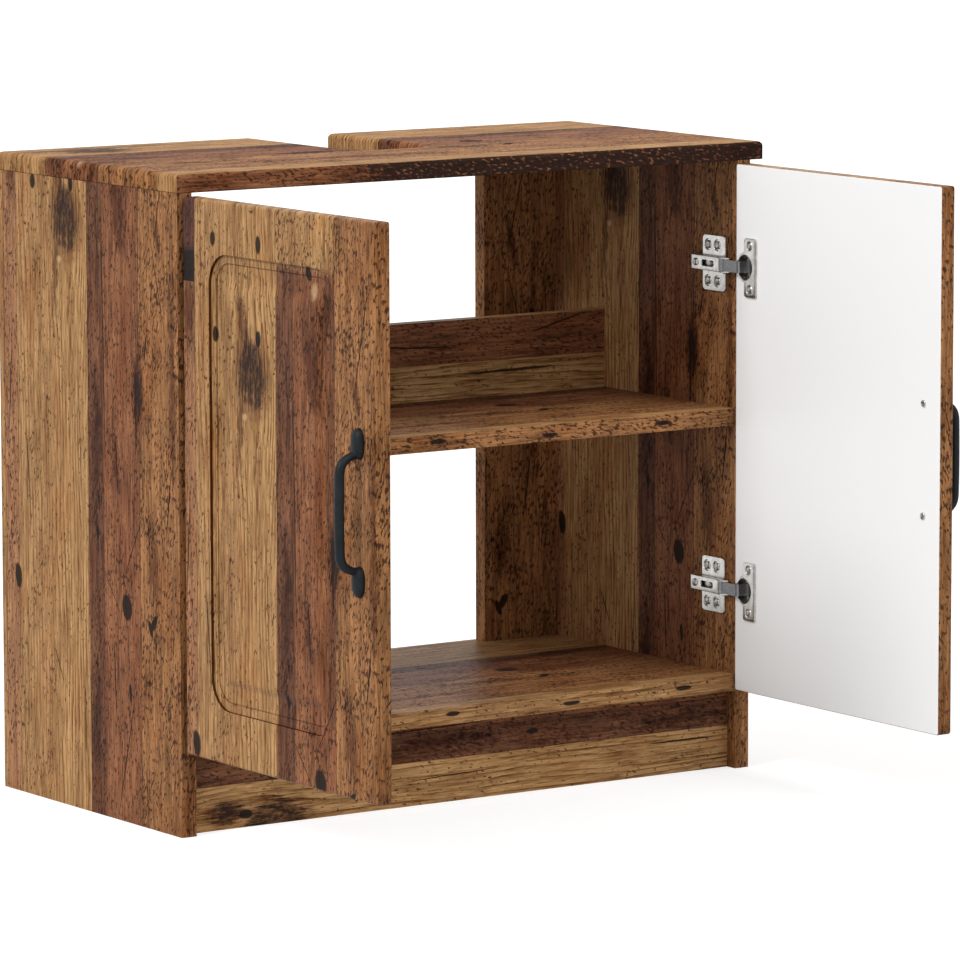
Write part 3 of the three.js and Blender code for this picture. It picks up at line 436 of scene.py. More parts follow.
    # Seams, chips, cracks and nail holes are crisp, so their outlines move only a little.
    small = node(tree, "VectorMath", {0: jitter, 1: (0.20, 0.16, 0)}, operation="MULTIPLY")
    moved = node(tree, "VectorMath", {0: place, 1: small}, operation="ADD")
    line = node(tree, "MapRange", {
        "Value": seam, "From Min": SEAM_HALF_WIDTH + 0.3, "From Max": SEAM_HALF_WIDTH - 0.2,
        "To Max": 0.55})
    black = node(tree, "MapRange", {"Value": beyond, "From Min": 34.0, "From Max": 26.0, "To Max": 0.93})
    black = node(tree, "Math", {0: scorched, 1: black}, operation="MULTIPLY")
    chip = node(tree, "MapRange", {
        "Value": marks_nearness(tree, moved, PRINT_CHIPS), "From Min": 1.25, "From Max": 0.45,
        "To Max": 0.58})
    for share, tint in ((line, CRACK_AND_SHADE_TINT), (black, NAIL_TINT), (chip, CHIP_TINT)):
        colour = stained(tree, colour, share, tint)
    for marks, tint in ((cracks, CRACK_AND_SHADE_TINT), (holes, NAIL_TINT)):
        if marks:
            mark = node(tree, "MapRange", {
                "Value": marks_nearness(tree, moved, marks), "From Min": 1.12, "From Max": 0.88,
                "To Max": 0.94})
            colour = stained(tree, colour, mark, tint)
            pressed = node(tree, "Math", {0: pressed, 1: mark}, operation="MAXIMUM")
    return colour, pressed


def satin_print(tree, colour, pressed, low=0.44, high=0.60, gloss=0.05):
    """Satin melamine: a faint, broad sheen over the print, with its pores pressed in and duller."""
    relief = node(tree, "Bump", {"Height": pressed, "Strength": 0.3, "Distance": -0.0002})
    roughness = node(tree, "MapRange", {"Value": pressed, "To Min": low, "To Max": high})
    return node(tree, "BsdfPrincipled", {
        "Base Color": colour, "Roughness": roughness, "Normal": relief,
        "Specular IOR Level": gloss})


BAND_STRETCH = 2000
BAND_FACING = 0.66


def on_band(marks):
    """Marks moved to the stretch of the print that the edge bands use."""
    return [(across, along + BAND_STRETCH, *rest) for across, along, *rest in marks]


def board_material(name, faces, ends, seed, knots=(), nails=(), burns=(), joint=None, gloss=0.05):
    """Print on the broad faces, and a far stretch of it on the edge bands."""
    material, tree = new_material(name)
    across, along, start, facing = ends
    broad = print_place(tree, *faces)
    narrow = print_place(tree, across, along, (start[0], start[1] + BAND_STRETCH))
    normal = node(tree, "NewGeometry").outputs["Normal"]
    dot = node(tree, "VectorMath", {0: normal, 1: facing}, operation="DOT_PRODUCT")
    mask = node(tree, "Math", {0: dot.outputs["Value"]}, operation="ABSOLUTE")
    mask = node(tree, "Math", {0: mask, 1: BAND_FACING}, operation="GREATER_THAN")
    place = node(tree, "Mix", {"Factor": mask, 4: broad, 5: narrow}, data_type="VECTOR").outputs[1]
    colour, pressed = plank_print(
        tree, place, seed, PRINT_HOLES + on_band(nails), PRINT_KNOTS + list(knots),
        PRINT_SMUDGES, PRINT_CRACKS, on_band(burns))
    # Painted shade: the board is darkened in the millimetre just above the joint height, where the top sits
    # on the side panels.
    if joint:
        where = node(tree, "TexCoord").outputs["Object"]
        height = node(tree, "SeparateXYZ", {0: where}).outputs["Z"]
        line = node(tree, "MapRange", {
            "Value": height, "From Min": joint + 0.0009, "From Max": joint + 0.0004, "To Max": 0.8})
        colour = stained(tree, colour, line, CRACK_AND_SHADE_TINT)
    finish_material(tree, satin_print(tree, colour, pressed, gloss=gloss))
    return material


def dress(name, material):
    """Gives a node of the frame its material."""
    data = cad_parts[name].data
    data.materials.clear()
    data.materials.append(material)


# Side panels, deck, shelf and top.
# Boards of 15 and 17 mm coated chipboard with printed edge bands. The print runs upwards on the
# side panels and stiles, and from side to side on all the others.
SIDE_STRETCH = 1.045
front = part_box("left_side_panel")[0].y * 1000
side_material = board_material(
    "melamine_reclaimed_planks_upright",
    ((0, -SIDE_STRETCH, 0), (0, 0, 1), (SIDE_STRETCH * (286.6 + front), 0)),
    ((1, 0, 0), (0, 0, 1), (570, 130), (0, 1, 0)), 1)
for name in ("left_side_panel", "right_side_panel"):
    dress(name, side_material)

EDGE_NAILS = [
    (44, 96, 2.4, 9, 0), (42, 226, 2.0, 10, 0), (45, 360, 2.2, 8, 0),
    (299, 120, 2.2, 10, 0), (297, 250, 2.0, 9, 0), (300, 375, 2.4, 9, 0),
]
deck_material = board_material(
    "melamine_reclaimed_planks_lying",
    ((0, -1, 0), (-1, 0, 0), (350 + front, 330)),
    ((0, 0, 1), (-1, 0, 0), (-40, 330), (0, 1, 0)), 2, nails=EDGE_NAILS)
for name in ("bottom_panel", "middle_shelf"):
    dress(name, deck_material)

# The top is seen at the flattest angle, where any sheen turns it pale, so it has the least of it.
TOP_EDGE_BURNS = [(508, 150, 400, 300, 0)]
dress("top_panel", board_material(
    "melamine_reclaimed_planks_top",
    ((0, -1, 0), (-1, 0, 1), (365 + front, 290 - 590)),
    ((0, 0, 1), (-1, 0, 0), (-83, 330), (0, 1, 0)), 4,
    burns=TOP_EDGE_BURNS, joint=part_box("top_panel")[0].z, gloss=0.01))
dress("shelf_back_rail", board_material(
    "melamine_reclaimed_planks_rail",
    ((0, 0, 1), (-1, 0, 0), (460 - 382, 330)),
    ((0, 1, 0), (-1, 0, 0), (200, 330), (0, 0, 1)), 5))
dress("plinth_board", board_material(
    "melamine_reclaimed_planks_plinth",
    ((0, 0, 1), (-1, 0, 0), (134 - 41, 330)),
    ((0, 1, 0), (-1, 0, 0), (200, 330), (0, 0, 1)), 6, knots=[(108, 598, 11, 20, 0)]))
stile_material = board_material(
    "melamine_reclaimed_planks_stile",
    ((1, 0, 0), (0, 0, 1), (20, 60)),
    ((0, 1, 0), (0, 0, 1), (300, 30), (1, 0, 0)), 7)
for name in ("left_back_stile", "right_back_stile"):
    dress(name, stile_material)


# Doors.
# Fibreboard with a routed panel. A foil with the plank print is pressed over the face and round
# the edges, a little smoother than the boards. The back is white melamine with two cup pockets.
def carved(shape, *cutters):
    """Cuts shapes out of a shape."""
    pieces = []
    for part in (shape, *cutters):
        bmesh.ops.recalc_face_normals(part, faces=part.faces)
        data = bpy.data.meshes.new("part")
        part.to_mesh(data)
        part.free()
        pieces.append(bpy.data.objects.new("part", data))
        scene.collection.objects.link(pieces[-1])
    for cutter in pieces[1:]:
        modifier = pieces[0].modifiers.new("cut", "BOOLEAN")
        modifier.operation = "DIFFERENCE"
        modifier.object = cutter
    bpy.context.view_layer.update()
    graph = bpy.context.evaluated_depsgraph_get()
    result = bmesh.new()
    result.from_mesh(pieces[0].evaluated_get(graph).to_mesh())
    for part in pieces:
        data = part.data
        bpy.data.objects.remove(part)
        bpy.data.meshes.remove(data)
    return result


def add_piece(name, shape, place, body, materials, nodes=(), crease_degrees=30):
    """Makes a shape in millimetres a piece at its place, which rides on a body."""
    bmesh.ops.transform(shape, matrix=place, verts=shape.verts)
    bmesh.ops.recalc_face_normals(shape, faces=shape.faces)
    data = bpy.data.meshes.new(name)
    shape.to_mesh(data)
    shape.free()
    data.shade_smooth()
    data.set_sharp_from_angle(angle=math.radians(crease_degrees))
    for material in materials:
        data.materials.append(material)
    piece = bpy.data.objects.new(name, data)
    scene.collection.objects.link(piece)
    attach(piece, body)
    if nodes:
        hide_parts(*nodes)
    return piece


def verts_of(parts):
    """Vertices among the parts that an operation made."""
    return [item for item in parts if isinstance(item, bmesh.types.BMVert)]


def rounded_rectangle(shape, half_width, half_height, radius, segments):
    """Flat face in the Y and Z directions."""
    made = bmesh.ops.create_grid(shape, x_segments=1, y_segments=1, size=1)
    bmesh.ops.transform(
        shape, verts=made["verts"],
        matrix=Matrix.Rotation(math.pi / 2, 4, "Y") @ Matrix.Diagonal((half_height, half_width, 1, 1)))
    bmesh.ops.bevel(
        shape, geom=made["verts"], offset=radius, offset_type="OFFSET", segments=segments,
        profile=0.5, affect="VERTICES", material=-1)
    return shape.faces[:]


def next_loop(shape, edges, here, there, rise):
    """Extrudes a loop to its next half width, half height, radius and middle."""
    verts = verts_of(bmesh.ops.extrude_edge_only(shape, edges=edges)["geom"])
    width, height, radius, middle_y, middle_z = here
    next_width, next_height, next_radius, next_y, next_z = there
    ratio = next_radius / radius
    corners = {(side, end): [
        v for v in verts if (v.co.y - middle_y) * side > 0 and (v.co.z - middle_z) * end > 0]
        for side in (1, -1) for end in (1, -1)}
    for (side, end), corner in corners.items():
        old = Vector((0, middle_y + side * (width - radius), middle_z + end * (height - radius)))
        new = Vector((
            rise, next_y + side * (next_width - next_radius), next_z + end * (next_height - next_radius)))
        bmesh.ops.scale(shape, vec=(1, ratio, ratio), space=Matrix.Translation(-old), verts=corner)
        bmesh.ops.translate(shape, vec=new - old, verts=corner)
    laid = set(verts)
    return [edge for edge in shape.edges if edge.is_boundary and laid.issuperset(edge.verts)]


PANEL_HINGE_MARGIN = 43.5
PANEL_FREE_MARGIN = 63.5
PANEL_BOTTOM_MARGIN = 48
PANEL_TOP_MARGIN = 46.5
PANEL_RADIUS = 29
WALL_DEPTH = 2.7
LEDGE_DEPTH = 3.0
GROOVE_DEPTH = 4.1
LEDGE_END = 7.2
STEP_WIDTH = 1.3
RISE_START = 21.5
RISE_WIDTH = 9.5
RISE_STEPS = 10
FIELD_DEPTH = 0.6
DOOR_ROUNDING = 2.4
DOOR_CORNER_RADIUS = 2.6
SMALLEST_RADIUS = 0.5
SUPPORT = 0.8
BACK_EASE = 0.5
# Painted shade of the routed outline: its tint, and its shares on the walls, the step and the free side.
PAINTED_GROOVE_SHADE_TINTS = (0.20, 0.13, 0.09)
WALL_SHADE = 1.0
STEP_SHADE = 0.6
FREE_SIDE_SHADE = 0.30
CUP_RADIUS = 13.2
CUP_INSET = 15.6
CUP_DEPTH = 13.0
CUP_PLAY = 0.3

# White melamine is even and bright, with a slight orange peel that softens its sheen. The peel is
# drawn 1.1 mm wide, coarser than it is, so that it shows.
PEEL_PER_METRE = 900
back_white, tree = new_material("white_melamine_back")
orange_peel = node(tree, "TexNoise", {
    "Vector": node(tree, "TexCoord").outputs["Object"], "Scale": PEEL_PER_METRE, "Detail": 2})
relief = node(tree, "Bump", {"Height": orange_peel, "Strength": 0.12, "Distance": 0.0001})
finish_material(tree, node(tree, "BsdfPrincipled", {
    "Base Color": linear("#ffffff"), "Roughness": 0.4, "Specular IOR Level": 0.3,
    "Normal": relief}))

quarter_steps = [step / 6 * math.pi / 2 for step in range(7)]
for hand, outward in (("left", -1), ("right", 1)):
    low, high = [corner * 1000 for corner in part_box(f"{hand}_door")]
    half_width, half_height, thickness = (high.y - low.y) / 2, (high.z - low.z) / 2, high.x - low.x
    inner_x = high.x if outward < 0 else low.x
    outer_x = low.x if outward < 0 else high.x

    # Each step of the panel's profile is (distance inside the outline, drop under the door's face).
    profile = [(RISE_START + RISE_WIDTH + SUPPORT, FIELD_DEPTH)]
    for step in range(RISE_STEPS + 1):
        down = 0.5 - 0.5 * math.cos(math.pi * step / RISE_STEPS)
        profile.append((
            RISE_START + RISE_WIDTH * (1 - step / RISE_STEPS),
            FIELD_DEPTH + (GROOVE_DEPTH - FIELD_DEPTH) * down))
    profile += [
        (LEDGE_END + STEP_WIDTH + SUPPORT, GROOVE_DEPTH), (LEDGE_END + STEP_WIDTH, GROOVE_DEPTH - 0.1),
        (LEDGE_END + 0.3, LEDGE_DEPTH + 0.2), (LEDGE_END, LEDGE_DEPTH), (1.6, LEDGE_DEPTH - 0.05),
        (0.7, WALL_DEPTH + 0.1), (0.25, WALL_DEPTH), (0.1, 0.4), (0, 0.15), (-0.3, 0), (-SUPPORT, 0),
    ]
    panel_half_width = half_width - (PANEL_HINGE_MARGIN + PANEL_FREE_MARGIN) / 2
    panel_half_height = half_height - (PANEL_BOTTOM_MARGIN + PANEL_TOP_MARGIN) / 2
    panel_middle = (
        (PANEL_FREE_MARGIN - PANEL_HINGE_MARGIN) / 2, (PANEL_BOTTOM_MARGIN - PANEL_TOP_MARGIN) / 2)
    sizes = [(
        panel_half_width - inside, panel_half_height - inside,
        max(PANEL_RADIUS - inside, SMALLEST_RADIUS), *panel_middle) for inside, drop in profile]
    rises = [thickness - drop for inside, drop in profile]
    rim = [(DOOR_ROUNDING + SUPPORT, 0.0)]
    rim += [(DOOR_ROUNDING * (1 - math.sin(a)), -DOOR_ROUNDING * (1 - math.cos(a))) for a in quarter_steps]
    rim = [(inset, thickness + drop) for inset, drop in rim]
    rim += [
        (0, thickness - DOOR_ROUNDING - SUPPORT), (0, BACK_EASE + SUPPORT), (0, BACK_EASE),
        (BACK_EASE / 3, BACK_EASE / 3), (BACK_EASE, 0), (BACK_EASE + SUPPORT, 0),
    ]
    sizes += [(
        half_width - inset, half_height - inset,
        max(DOOR_CORNER_RADIUS - inset, SMALLEST_RADIUS), 0, 0) for inset, rise in rim]
    rises += [rise for inset, rise in rim]
    door = bmesh.new()
    rounded_rectangle(door, *sizes[0][:3], segments=8)
    bmesh.ops.translate(door, vec=(rises[0], *panel_middle), verts=door.verts)
    edges = door.edges[:]
    for count in range(1, len(sizes)):
        edges = next_loop(door, edges, sizes[count - 1], sizes[count], rises[count] - rises[count - 1])
    bmesh.ops.contextual_create(door, geom=edges, mat_nr=0)
    bmesh.ops.recalc_face_normals(door, faces=door.faces)
    for face in door.faces:
        if face.normal.x < -0.9 and face.calc_center_median().x < BACK_EASE:
            face.material_index = 1
    pockets = []
    for level in ("lower", "upper"):
        plate_low, plate_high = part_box(f"{hand}_{level}_hinge_plate")
        height = (plate_low.z + plate_high.z) * 500 - (low.z + high.z) / 2
        middle = Matrix.Translation((0, half_width - CUP_INSET, height))
        pocket = bmesh.new()
        bmesh.ops.create_cone(
            pocket, cap_ends=True, segments=48, radius1=CUP_RADIUS + CUP_PLAY,
            radius2=CUP_RADIUS + CUP_PLAY, depth=2 * (CUP_DEPTH + CUP_PLAY),
            matrix=middle @ Matrix.Rotation(math.pi / 2, 4, "Y"))
        pockets.append(pocket)
    door = carved(door, *pockets)

    material, tree = new_material(f"{hand}_door_foil")
    place = print_place(
        tree, (-outward, -1, 0), (0, 0, 1), (high.y - 20 + outward * outer_x, 115))
    colour, pressed = plank_print(tree, place, 1, PRINT_HOLES, PRINT_KNOTS, PRINT_SMUDGES, PRINT_CRACKS)
    # Painted shade from the face attribute set below, darkening the panel's routed outline.
    painted_groove_shade = node(tree, "Attribute", attribute_name="painted_groove_shade").outputs["Fac"]
    colour = stained(tree, colour, painted_groove_shade, PAINTED_GROOVE_SHADE_TINTS)
    finish_material(tree, satin_print(tree, colour, pressed, 0.38, 0.52))
    place = Matrix.Translation((inner_x / 1000, (low.y + high.y) / 2000, (low.z + high.z) / 2000))
    place = place @ Matrix.Diagonal((outward / 1000, 0.001, 0.001, 1))
    leaf = add_piece(
        f"{hand}_door_leaf", door, place, f"{hand}_door", [material, back_white],
        [f"{hand}_door"])

    # Painted shade: the foil is darkened on the steep outer walls of the panel's outline, less on the step
    # below them, and a little on the recess along the free side.
    painted_groove_shade = leaf.data.attributes.new("painted_groove_shade", "FLOAT", "FACE")
    for face in leaf.data.polygons:
        rise = abs(face.center.x * 1000 - inner_x)
        from_edge = min(
            high.y - face.center.y * 1000, face.center.y * 1000 - low.y,
            high.z - face.center.z * 1000, face.center.z * 1000 - low.z)
        steep = abs(face.normal.x) < 0.8 and from_edge > PANEL_HINGE_MARGIN - 1
        from_free = face.center.y * 1000 - low.y - PANEL_FREE_MARGIN
        if steep and thickness - GROOVE_DEPTH < rise:
            painted_groove_shade.data[face.index].value = WALL_SHADE if rise > thickness - LEDGE_DEPTH else STEP_SHADE
        elif 0 < from_free < RISE_START and from_edge > PANEL_TOP_MARGIN + 4:
            painted_groove_shade.data[face.index].value = FREE_SIDE_SHADE


# Pull handles.
# Cast metal, lacquered matt black. A round grip bends into two necks that end in leaf-shaped feet,
# and screws from the back of the door hold them.
def two_tone(tree, noise, low, high, tones):
    """Colour that goes from one tone to another where a noise goes from low to high."""
    share = node(tree, "MapRange", {"Value": noise, "From Min": low, "From Max": high})
    return node(tree, "Mix", {
        "Factor": share, 6: linear(tones[0]), 7: linear(tones[1])}, data_type="RGBA").outputs[2]


GRIP_RADIUS = 4.4
NECK_RADIUS = 3.7
NECK_SPREAD = 1.2
GRIP_REACH = 21.2
FOOT_MIDDLE = 60.0
FOOT_HALF_LENGTH = 13.7
FOOT_HALF_WIDTH = 8.0
FOOT_RISE = 7.4
CAST_GRAIN = 0.75

# The lacquer swallows light and keeps a dull, bluish gleam along the grip. The sand grain of the
# casting under it is drawn 0.9 mm wide, coarser than it is, so that it shows. Hands have rubbed
# patches of 11 mm a little lighter.
GRAINS_PER_METRE = 1100
RUBBED_PER_METRE = 90
lacquer, tree = new_material("matt_black_lacquer")
where = node(tree, "TexCoord").outputs["Object"]
sand = node(tree, "TexNoise", {"Vector": where, "Scale": GRAINS_PER_METRE, "Detail": 3, "Roughness": 0.6})
relief = node(tree, "Bump", {"Height": sand, "Strength": 0.35, "Distance": 0.0002})
rubbed = node(tree, "TexNoise", {"Vector": where, "Scale": RUBBED_PER_METRE, "Detail": 4, "Roughness": 0.6})
tone = two_tone(tree, rubbed, 0.35, 0.7, ("#101416", "#1a2023"))
finish_material(tree, node(tree, "BsdfPrincipled", {
    "Base Color": tone, "Roughness": 0.5, "Specular IOR Level": 0.18, "Normal": relief}))

for hand, outward in (("left", -1), ("right", 1)):
    low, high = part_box(f"{hand}_handle")
    inner_x = high.x if outward < 0 else low.x
    bends = [
        ((1.0, 51.2), (5.6, 50.6), (10.4, 49.4), (14.6, 46.8)),
        ((14.6, 46.8), (18.6, 44.2), (20.4, 40.6), (20.8, 34.0)),
        ((20.8, 34.0), (21.0, 24.0), (GRIP_REACH, 12.0), (GRIP_REACH, 0.0)),
    ]
    half = []
    for bend in bends:
        points = interpolate_bezier(*[Vector((out, 0, up)) for out, up in bend], 9)
        half += points if not half else points[1:]
    path = [Vector((point.x, 0, -point.z)) for point in half] + half[-2::-1]
    grip = bmesh.new()
    ring = bmesh.ops.create_circle(grip, cap_ends=True, segments=20, radius=1)["verts"]
    edges = grip.edges[:]
    last = Matrix.Identity(4)
    for count, point in enumerate(path):
        before, after = path[max(count - 1, 0)], path[min(count + 1, len(path) - 1)]
        tangent = (after - before).normalized()
        swell = min(1.0, max(0.0, (point.x - 9) / 11)) ** 1.5
        foot = max(0.0, 1 - point.x / 5) ** 2
        radius = NECK_RADIUS + (GRIP_RADIUS - NECK_RADIUS) * swell + NECK_SPREAD * foot
        turn = Vector((0, 0, 1)).rotation_difference(tangent).to_matrix().to_4x4()
        now = Matrix.Translation(point) @ turn @ Matrix.Diagonal((radius, radius, radius, 1))
        if count:
            ring = verts_of(bmesh.ops.extrude_edge_only(grip, edges=edges)["geom"])
            laid = set(ring)
            edges = [edge for edge in grip.edges if edge.is_boundary and laid.issuperset(edge.verts)]
        bmesh.ops.transform(grip, matrix=now @ last.inverted(), verts=ring)
        last = now
    bmesh.ops.contextual_create(grip, geom=edges)
    for end in (1, -1):
        leaf = bmesh.ops.create_uvsphere(grip, u_segments=32, v_segments=20, radius=1)["verts"]
        for vert in leaf:
            vert.co.y *= 1 + 0.10 * max(0.0, -vert.co.z * end)
            vert.co.x = math.copysign(abs(vert.co.x) ** 0.8, vert.co.x)
            vert.co.z = math.copysign(abs(vert.co.z) ** 0.86, vert.co.z)
        bmesh.ops.scale(grip, vec=(FOOT_RISE, FOOT_HALF_WIDTH, FOOT_HALF_LENGTH), verts=leaf)
        bmesh.ops.translate(grip, vec=(0, 0, end * FOOT_MIDDLE), verts=leaf)
    bmesh.ops.recalc_face_normals(grip, faces=grip.faces)

    # The parts are melted together, so that the necks run into the feet as in a casting.
    data = bpy.data.meshes.new("casting")
    grip.to_mesh(data)
    grip.free()
    casting = bpy.data.objects.new("casting", data)
    scene.collection.objects.link(casting)
    remesh = casting.modifiers.new("melt", "REMESH")
    remesh.mode = "VOXEL"
    remesh.voxel_size = CAST_GRAIN
    soften = casting.modifiers.new("soften", "SMOOTH")
    soften.factor = 0.5
    soften.iterations = 8
    bpy.context.view_layer.update()
    melted = bmesh.new()
    melted.from_mesh(casting.evaluated_get(bpy.context.evaluated_depsgraph_get()).to_mesh())
    bpy.data.objects.remove(casting)
    bpy.data.meshes.remove(data)
    cut = bmesh.ops.bisect_plane(
        melted, geom=melted.verts[:] + melted.edges[:] + melted.faces[:], plane_co=(0, 0, 0),
        plane_no=(-1, 0, 0), clear_outer=True)["geom_cut"]
    bmesh.ops.edgeloop_fill(
        melted, edges=[item for item in cut if isinstance(item, bmesh.types.BMEdge)])
    place = Matrix.Translation((inner_x, (low.y + high.y) / 2, (low.z + high.z) / 2))
    add_piece(
        f"{hand}_pull", melted, place @ Matrix.Diagonal((outward / 1000, 0.001, 0.001, 1)),
        f"{hand}_door", [lacquer], [f"{hand}_handle"], crease_degrees=50)


# Screws.
# Low round heads with a cross recess, turned and zinc plated. They hold the plates, the cups and
# the arms, and longer ones come through the doors into the handles.
PLATE_SCREW_RADIUS = 3.8
PLATE_SCREW_RISE = 1.7
HANDLE_SCREW_RADIUS = 3.5
HANDLE_SCREW_LENGTH = 21.0

# Zinc is a cool grey metal with a soft mottle, 1.4 mm wide, that breaks up what it mirrors.
MOTTLE_PER_METRE = 700
zinc, tree = new_material("zinc_plated_steel")
where = node(tree, "TexCoord").outputs["Object"]
mottle = node(tree, "TexNoise", {"Vector": where, "Scale": MOTTLE_PER_METRE, "Detail": 4, "Roughness": 0.6})
tone = two_tone(tree, mottle, 0.35, 0.65, ("#a9abac", "#c9c9c6"))
shine = node(tree, "MapRange", {"Value": mottle, "To Min": 0.22, "To Max": 0.46})
finish_material(tree, node(tree, "BsdfPrincipled", {
    "Base Color": tone, "Metallic": 1.0, "Roughness": shine}))


def screw_shape(radius, rise, shank_radius, length, turn_degrees):
    """Screw along X: the seat of its head is at 0 and its shank goes to -length."""
    screw = bmesh.new()
    outline = [
        (-length, 0), (-length + shank_radius, shank_radius), (-0.4 * rise, shank_radius), (0, radius),
        (0.35 * rise, radius), (0.72 * rise, 0.84 * radius), (0.94 * rise, 0.5 * radius), (rise, 0),
    ]
    verts = [screw.verts.new((along, out, 0)) for along, out in outline]
    edges = [screw.edges.new(pair) for pair in zip(verts, verts[1:])]
    bmesh.ops.spin(
        screw, geom=verts + edges, cent=(0, 0, 0), axis=(1, 0, 0), angle=2 * math.pi, steps=24,
        use_merge=True)
    bmesh.ops.remove_doubles(screw, verts=screw.verts, dist=0.001)
    slots = []
    for quarter in (0, 1):
        slot = bmesh.new()
        bmesh.ops.create_cube(slot, size=1)
        bmesh.ops.scale(slot, vec=(rise, 0.19 * radius, 0.95 * radius), verts=slot.verts)
        for vert in slot.verts:
            if vert.co.x < 0:
                vert.co.z *= 0.45
        matrix = Matrix.Translation((rise, 0, 0))
        matrix = matrix @ Matrix.Rotation(math.radians(turn_degrees + 90 * quarter), 4, "X")
        bmesh.ops.transform(slot, matrix=matrix, verts=slot.verts)
        slots.append(slot)
    return carved(screw, *slots)


def merged(*shapes):
    """Puts shapes in one."""
    whole = bmesh.new()
    for shape in shapes:
        data = bpy.data.meshes.new("part")
        shape.to_mesh(data)
        shape.free()
        whole.from_mesh(data)
        bpy.data.meshes.remove(data)
    return whole


def moved_to(shape, place):
    """Moves a shape."""
    bmesh.ops.translate(shape, vec=place, verts=shape.verts)
    return shape


for hand, outward in (("left", -1), ("right", 1)):
    door_low, door_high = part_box(f"{hand}_door")
    back_x = door_high.x if outward < 0 else door_low.x
    for level in ("lower", "upper"):
        name = f"{hand}_{level}_handle_screw"
        low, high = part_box(name)
        screw = screw_shape(
            HANDLE_SCREW_RADIUS, PLATE_SCREW_RISE, 2.0, HANDLE_SCREW_LENGTH, 20 if level == "lower" else 65)
        place = Matrix.Translation((back_x, (low.y + high.y) / 2, (low.z + high.z) / 2))
        place = place @ Matrix.Diagonal((-outward / 1000, 0.001, 0.001, 1))
        add_piece(
            f"{name}_turned", screw, place, f"{hand}_door", [zinc], [name])


# Cup hinges.
# Sheet steel, pressed and nickel plated. Each has a plate on the side panel, an arm screwed to it,
# a cup with its flange in the door, and two cranked links between arm and cup.

# Nickel is a warm, bright metal. Its brushing pulls the highlights out along the sheet, in lines
# 0.4 mm apart and 4 mm long, coarser than they are, so that they show. Haze comes in 6 mm patches.
BRUSHING_PER_METRE = (900, 260, 2600)
HAZE_PER_METRE = 160
nickel, tree = new_material("nickel_plated_steel")
where = node(tree, "TexCoord").outputs["Object"]
brushed = node(tree, "Mapping", {"Vector": where, "Scale": BRUSHING_PER_METRE})
lines = node(tree, "TexNoise", {"Vector": brushed, "Scale": 1, "Detail": 3, "Roughness": 0.6})
haze = node(tree, "TexNoise", {"Vector": where, "Scale": HAZE_PER_METRE, "Detail": 3, "Roughness": 0.55})
tone = two_tone(tree, haze, 0.35, 0.68, ("#b9b7b3", "#d2d0cb"))
shine = node(tree, "MapRange", {"Value": lines, "To Min": 0.16, "To Max": 0.40})
relief = node(tree, "Bump", {"Height": lines, "Strength": 0.06, "Distance": 0.0001})
finish_material(tree, node(tree, "BsdfPrincipled", {
    "Base Color": tone, "Metallic": 1.0, "Roughness": shine, "Normal": relief}))

# The links are stamped steel, duller than the plated sheet, with tumbling dents 1.6 mm wide. Their
# grey is darker than the sheet's: painted shade.
DENTS_PER_METRE = 620
shaded_link_steel, tree = new_material("link_steel_in_painted_shade")
where = node(tree, "TexCoord").outputs["Object"]
dents = node(tree, "TexNoise", {"Vector": where, "Scale": DENTS_PER_METRE, "Detail": 4, "Roughness": 0.6})
tone = two_tone(tree, dents, 0.35, 0.65, ("#7f8082", "#97989a"))
relief = node(tree, "Bump", {"Height": dents, "Strength": 0.2, "Distance": 0.0001})
finish_material(tree, node(tree, "BsdfPrincipled", {
    "Base Color": tone, "Metallic": 1.0, "Roughness": 0.42, "Normal": relief}))

PLATE_FRONT = 15.4
PLATE_REAR = 51.5
PLATE_HALF_HEIGHT = 26.5
PLATE_THICKNESS = 2.2
PLATE_CORNER = 4.0
SADDLE_RISE = 5.0
SADDLE_REAR = 60.0
SADDLE_HALF_HEIGHT = 6.5
PLATE_SCREW_PLACES = [(y, z) for y in (28.6, 43.3) for z in (-17.2, 17.2)]
PLATE_DISH_RADIUS = 5.7
FLANGE_DISH_RADIUS = 4.9
DISH_DEPTH = 1.5
DISH_SPREAD = 0.6
DOOR_FACE = 3.25
HINGE_EDGE = -3.5
FLANGE_START = 15.0
FLANGE_WIDTH = 18.5
FLANGE_HALF_HEIGHT = 28.0
FLANGE_THICKNESS = 2.2
FLANGE_CORNER = 3.0
FLANGE_SCREW_INSET = 23.5
FLANGE_SCREW_SPREAD = 20.7
CUP_WALL = 0.8
CUP_RIM = 1.1
CUP_RIM_RISE = 1.0
CUP_MOUTH = 12.1
SHARP_EDGE = 1.2


def sheet_plate(half_width, half_height, corner, thickness, ease):
    """Plate with rounded corners and eased edges, its back on X = 0 and its middle on the axis."""
    plate = bmesh.new()
    faces = rounded_rectangle(plate, half_width, half_height, corner, 6)
    sides = bmesh.ops.extrude_face_region(plate, geom=faces)["geom"]
    bmesh.ops.translate(plate, vec=(thickness, 0, 0), verts=verts_of(sides))
    bmesh.ops.recalc_face_normals(plate, faces=plate.faces)
    rim = [edge for edge in plate.edges if edge.calc_face_angle(0) > SHARP_EDGE and abs(
        edge.verts[0].co.x - edge.verts[1].co.x) < 0.01]
    bmesh.ops.bevel(
        plate, geom=rim, offset=ease, offset_type="OFFSET", segments=2, profile=0.5, affect="EDGES",
        material=-1)
    return plate


def cone_cutter(place, radius_low, radius_high, bottom, top):
    """Cone along X between two levels, for dishes and holes."""
    cutter = bmesh.new()
    middle = Matrix.Translation((place[0] + (bottom + top) / 2, place[1], place[2]))
    bmesh.ops.create_cone(
        cutter, cap_ends=True, segments=32, radius1=radius_low, radius2=radius_high, depth=top - bottom,
        matrix=middle @ Matrix.Rotation(math.pi / 2, 4, "Y"))
    return cutter


def dish_cutter(place, radius):
    """Dish for a screw head in a face that looks along X."""
    return cone_cutter(place, radius - DISH_SPREAD, radius + DISH_SPREAD, -DISH_DEPTH, DISH_DEPTH)


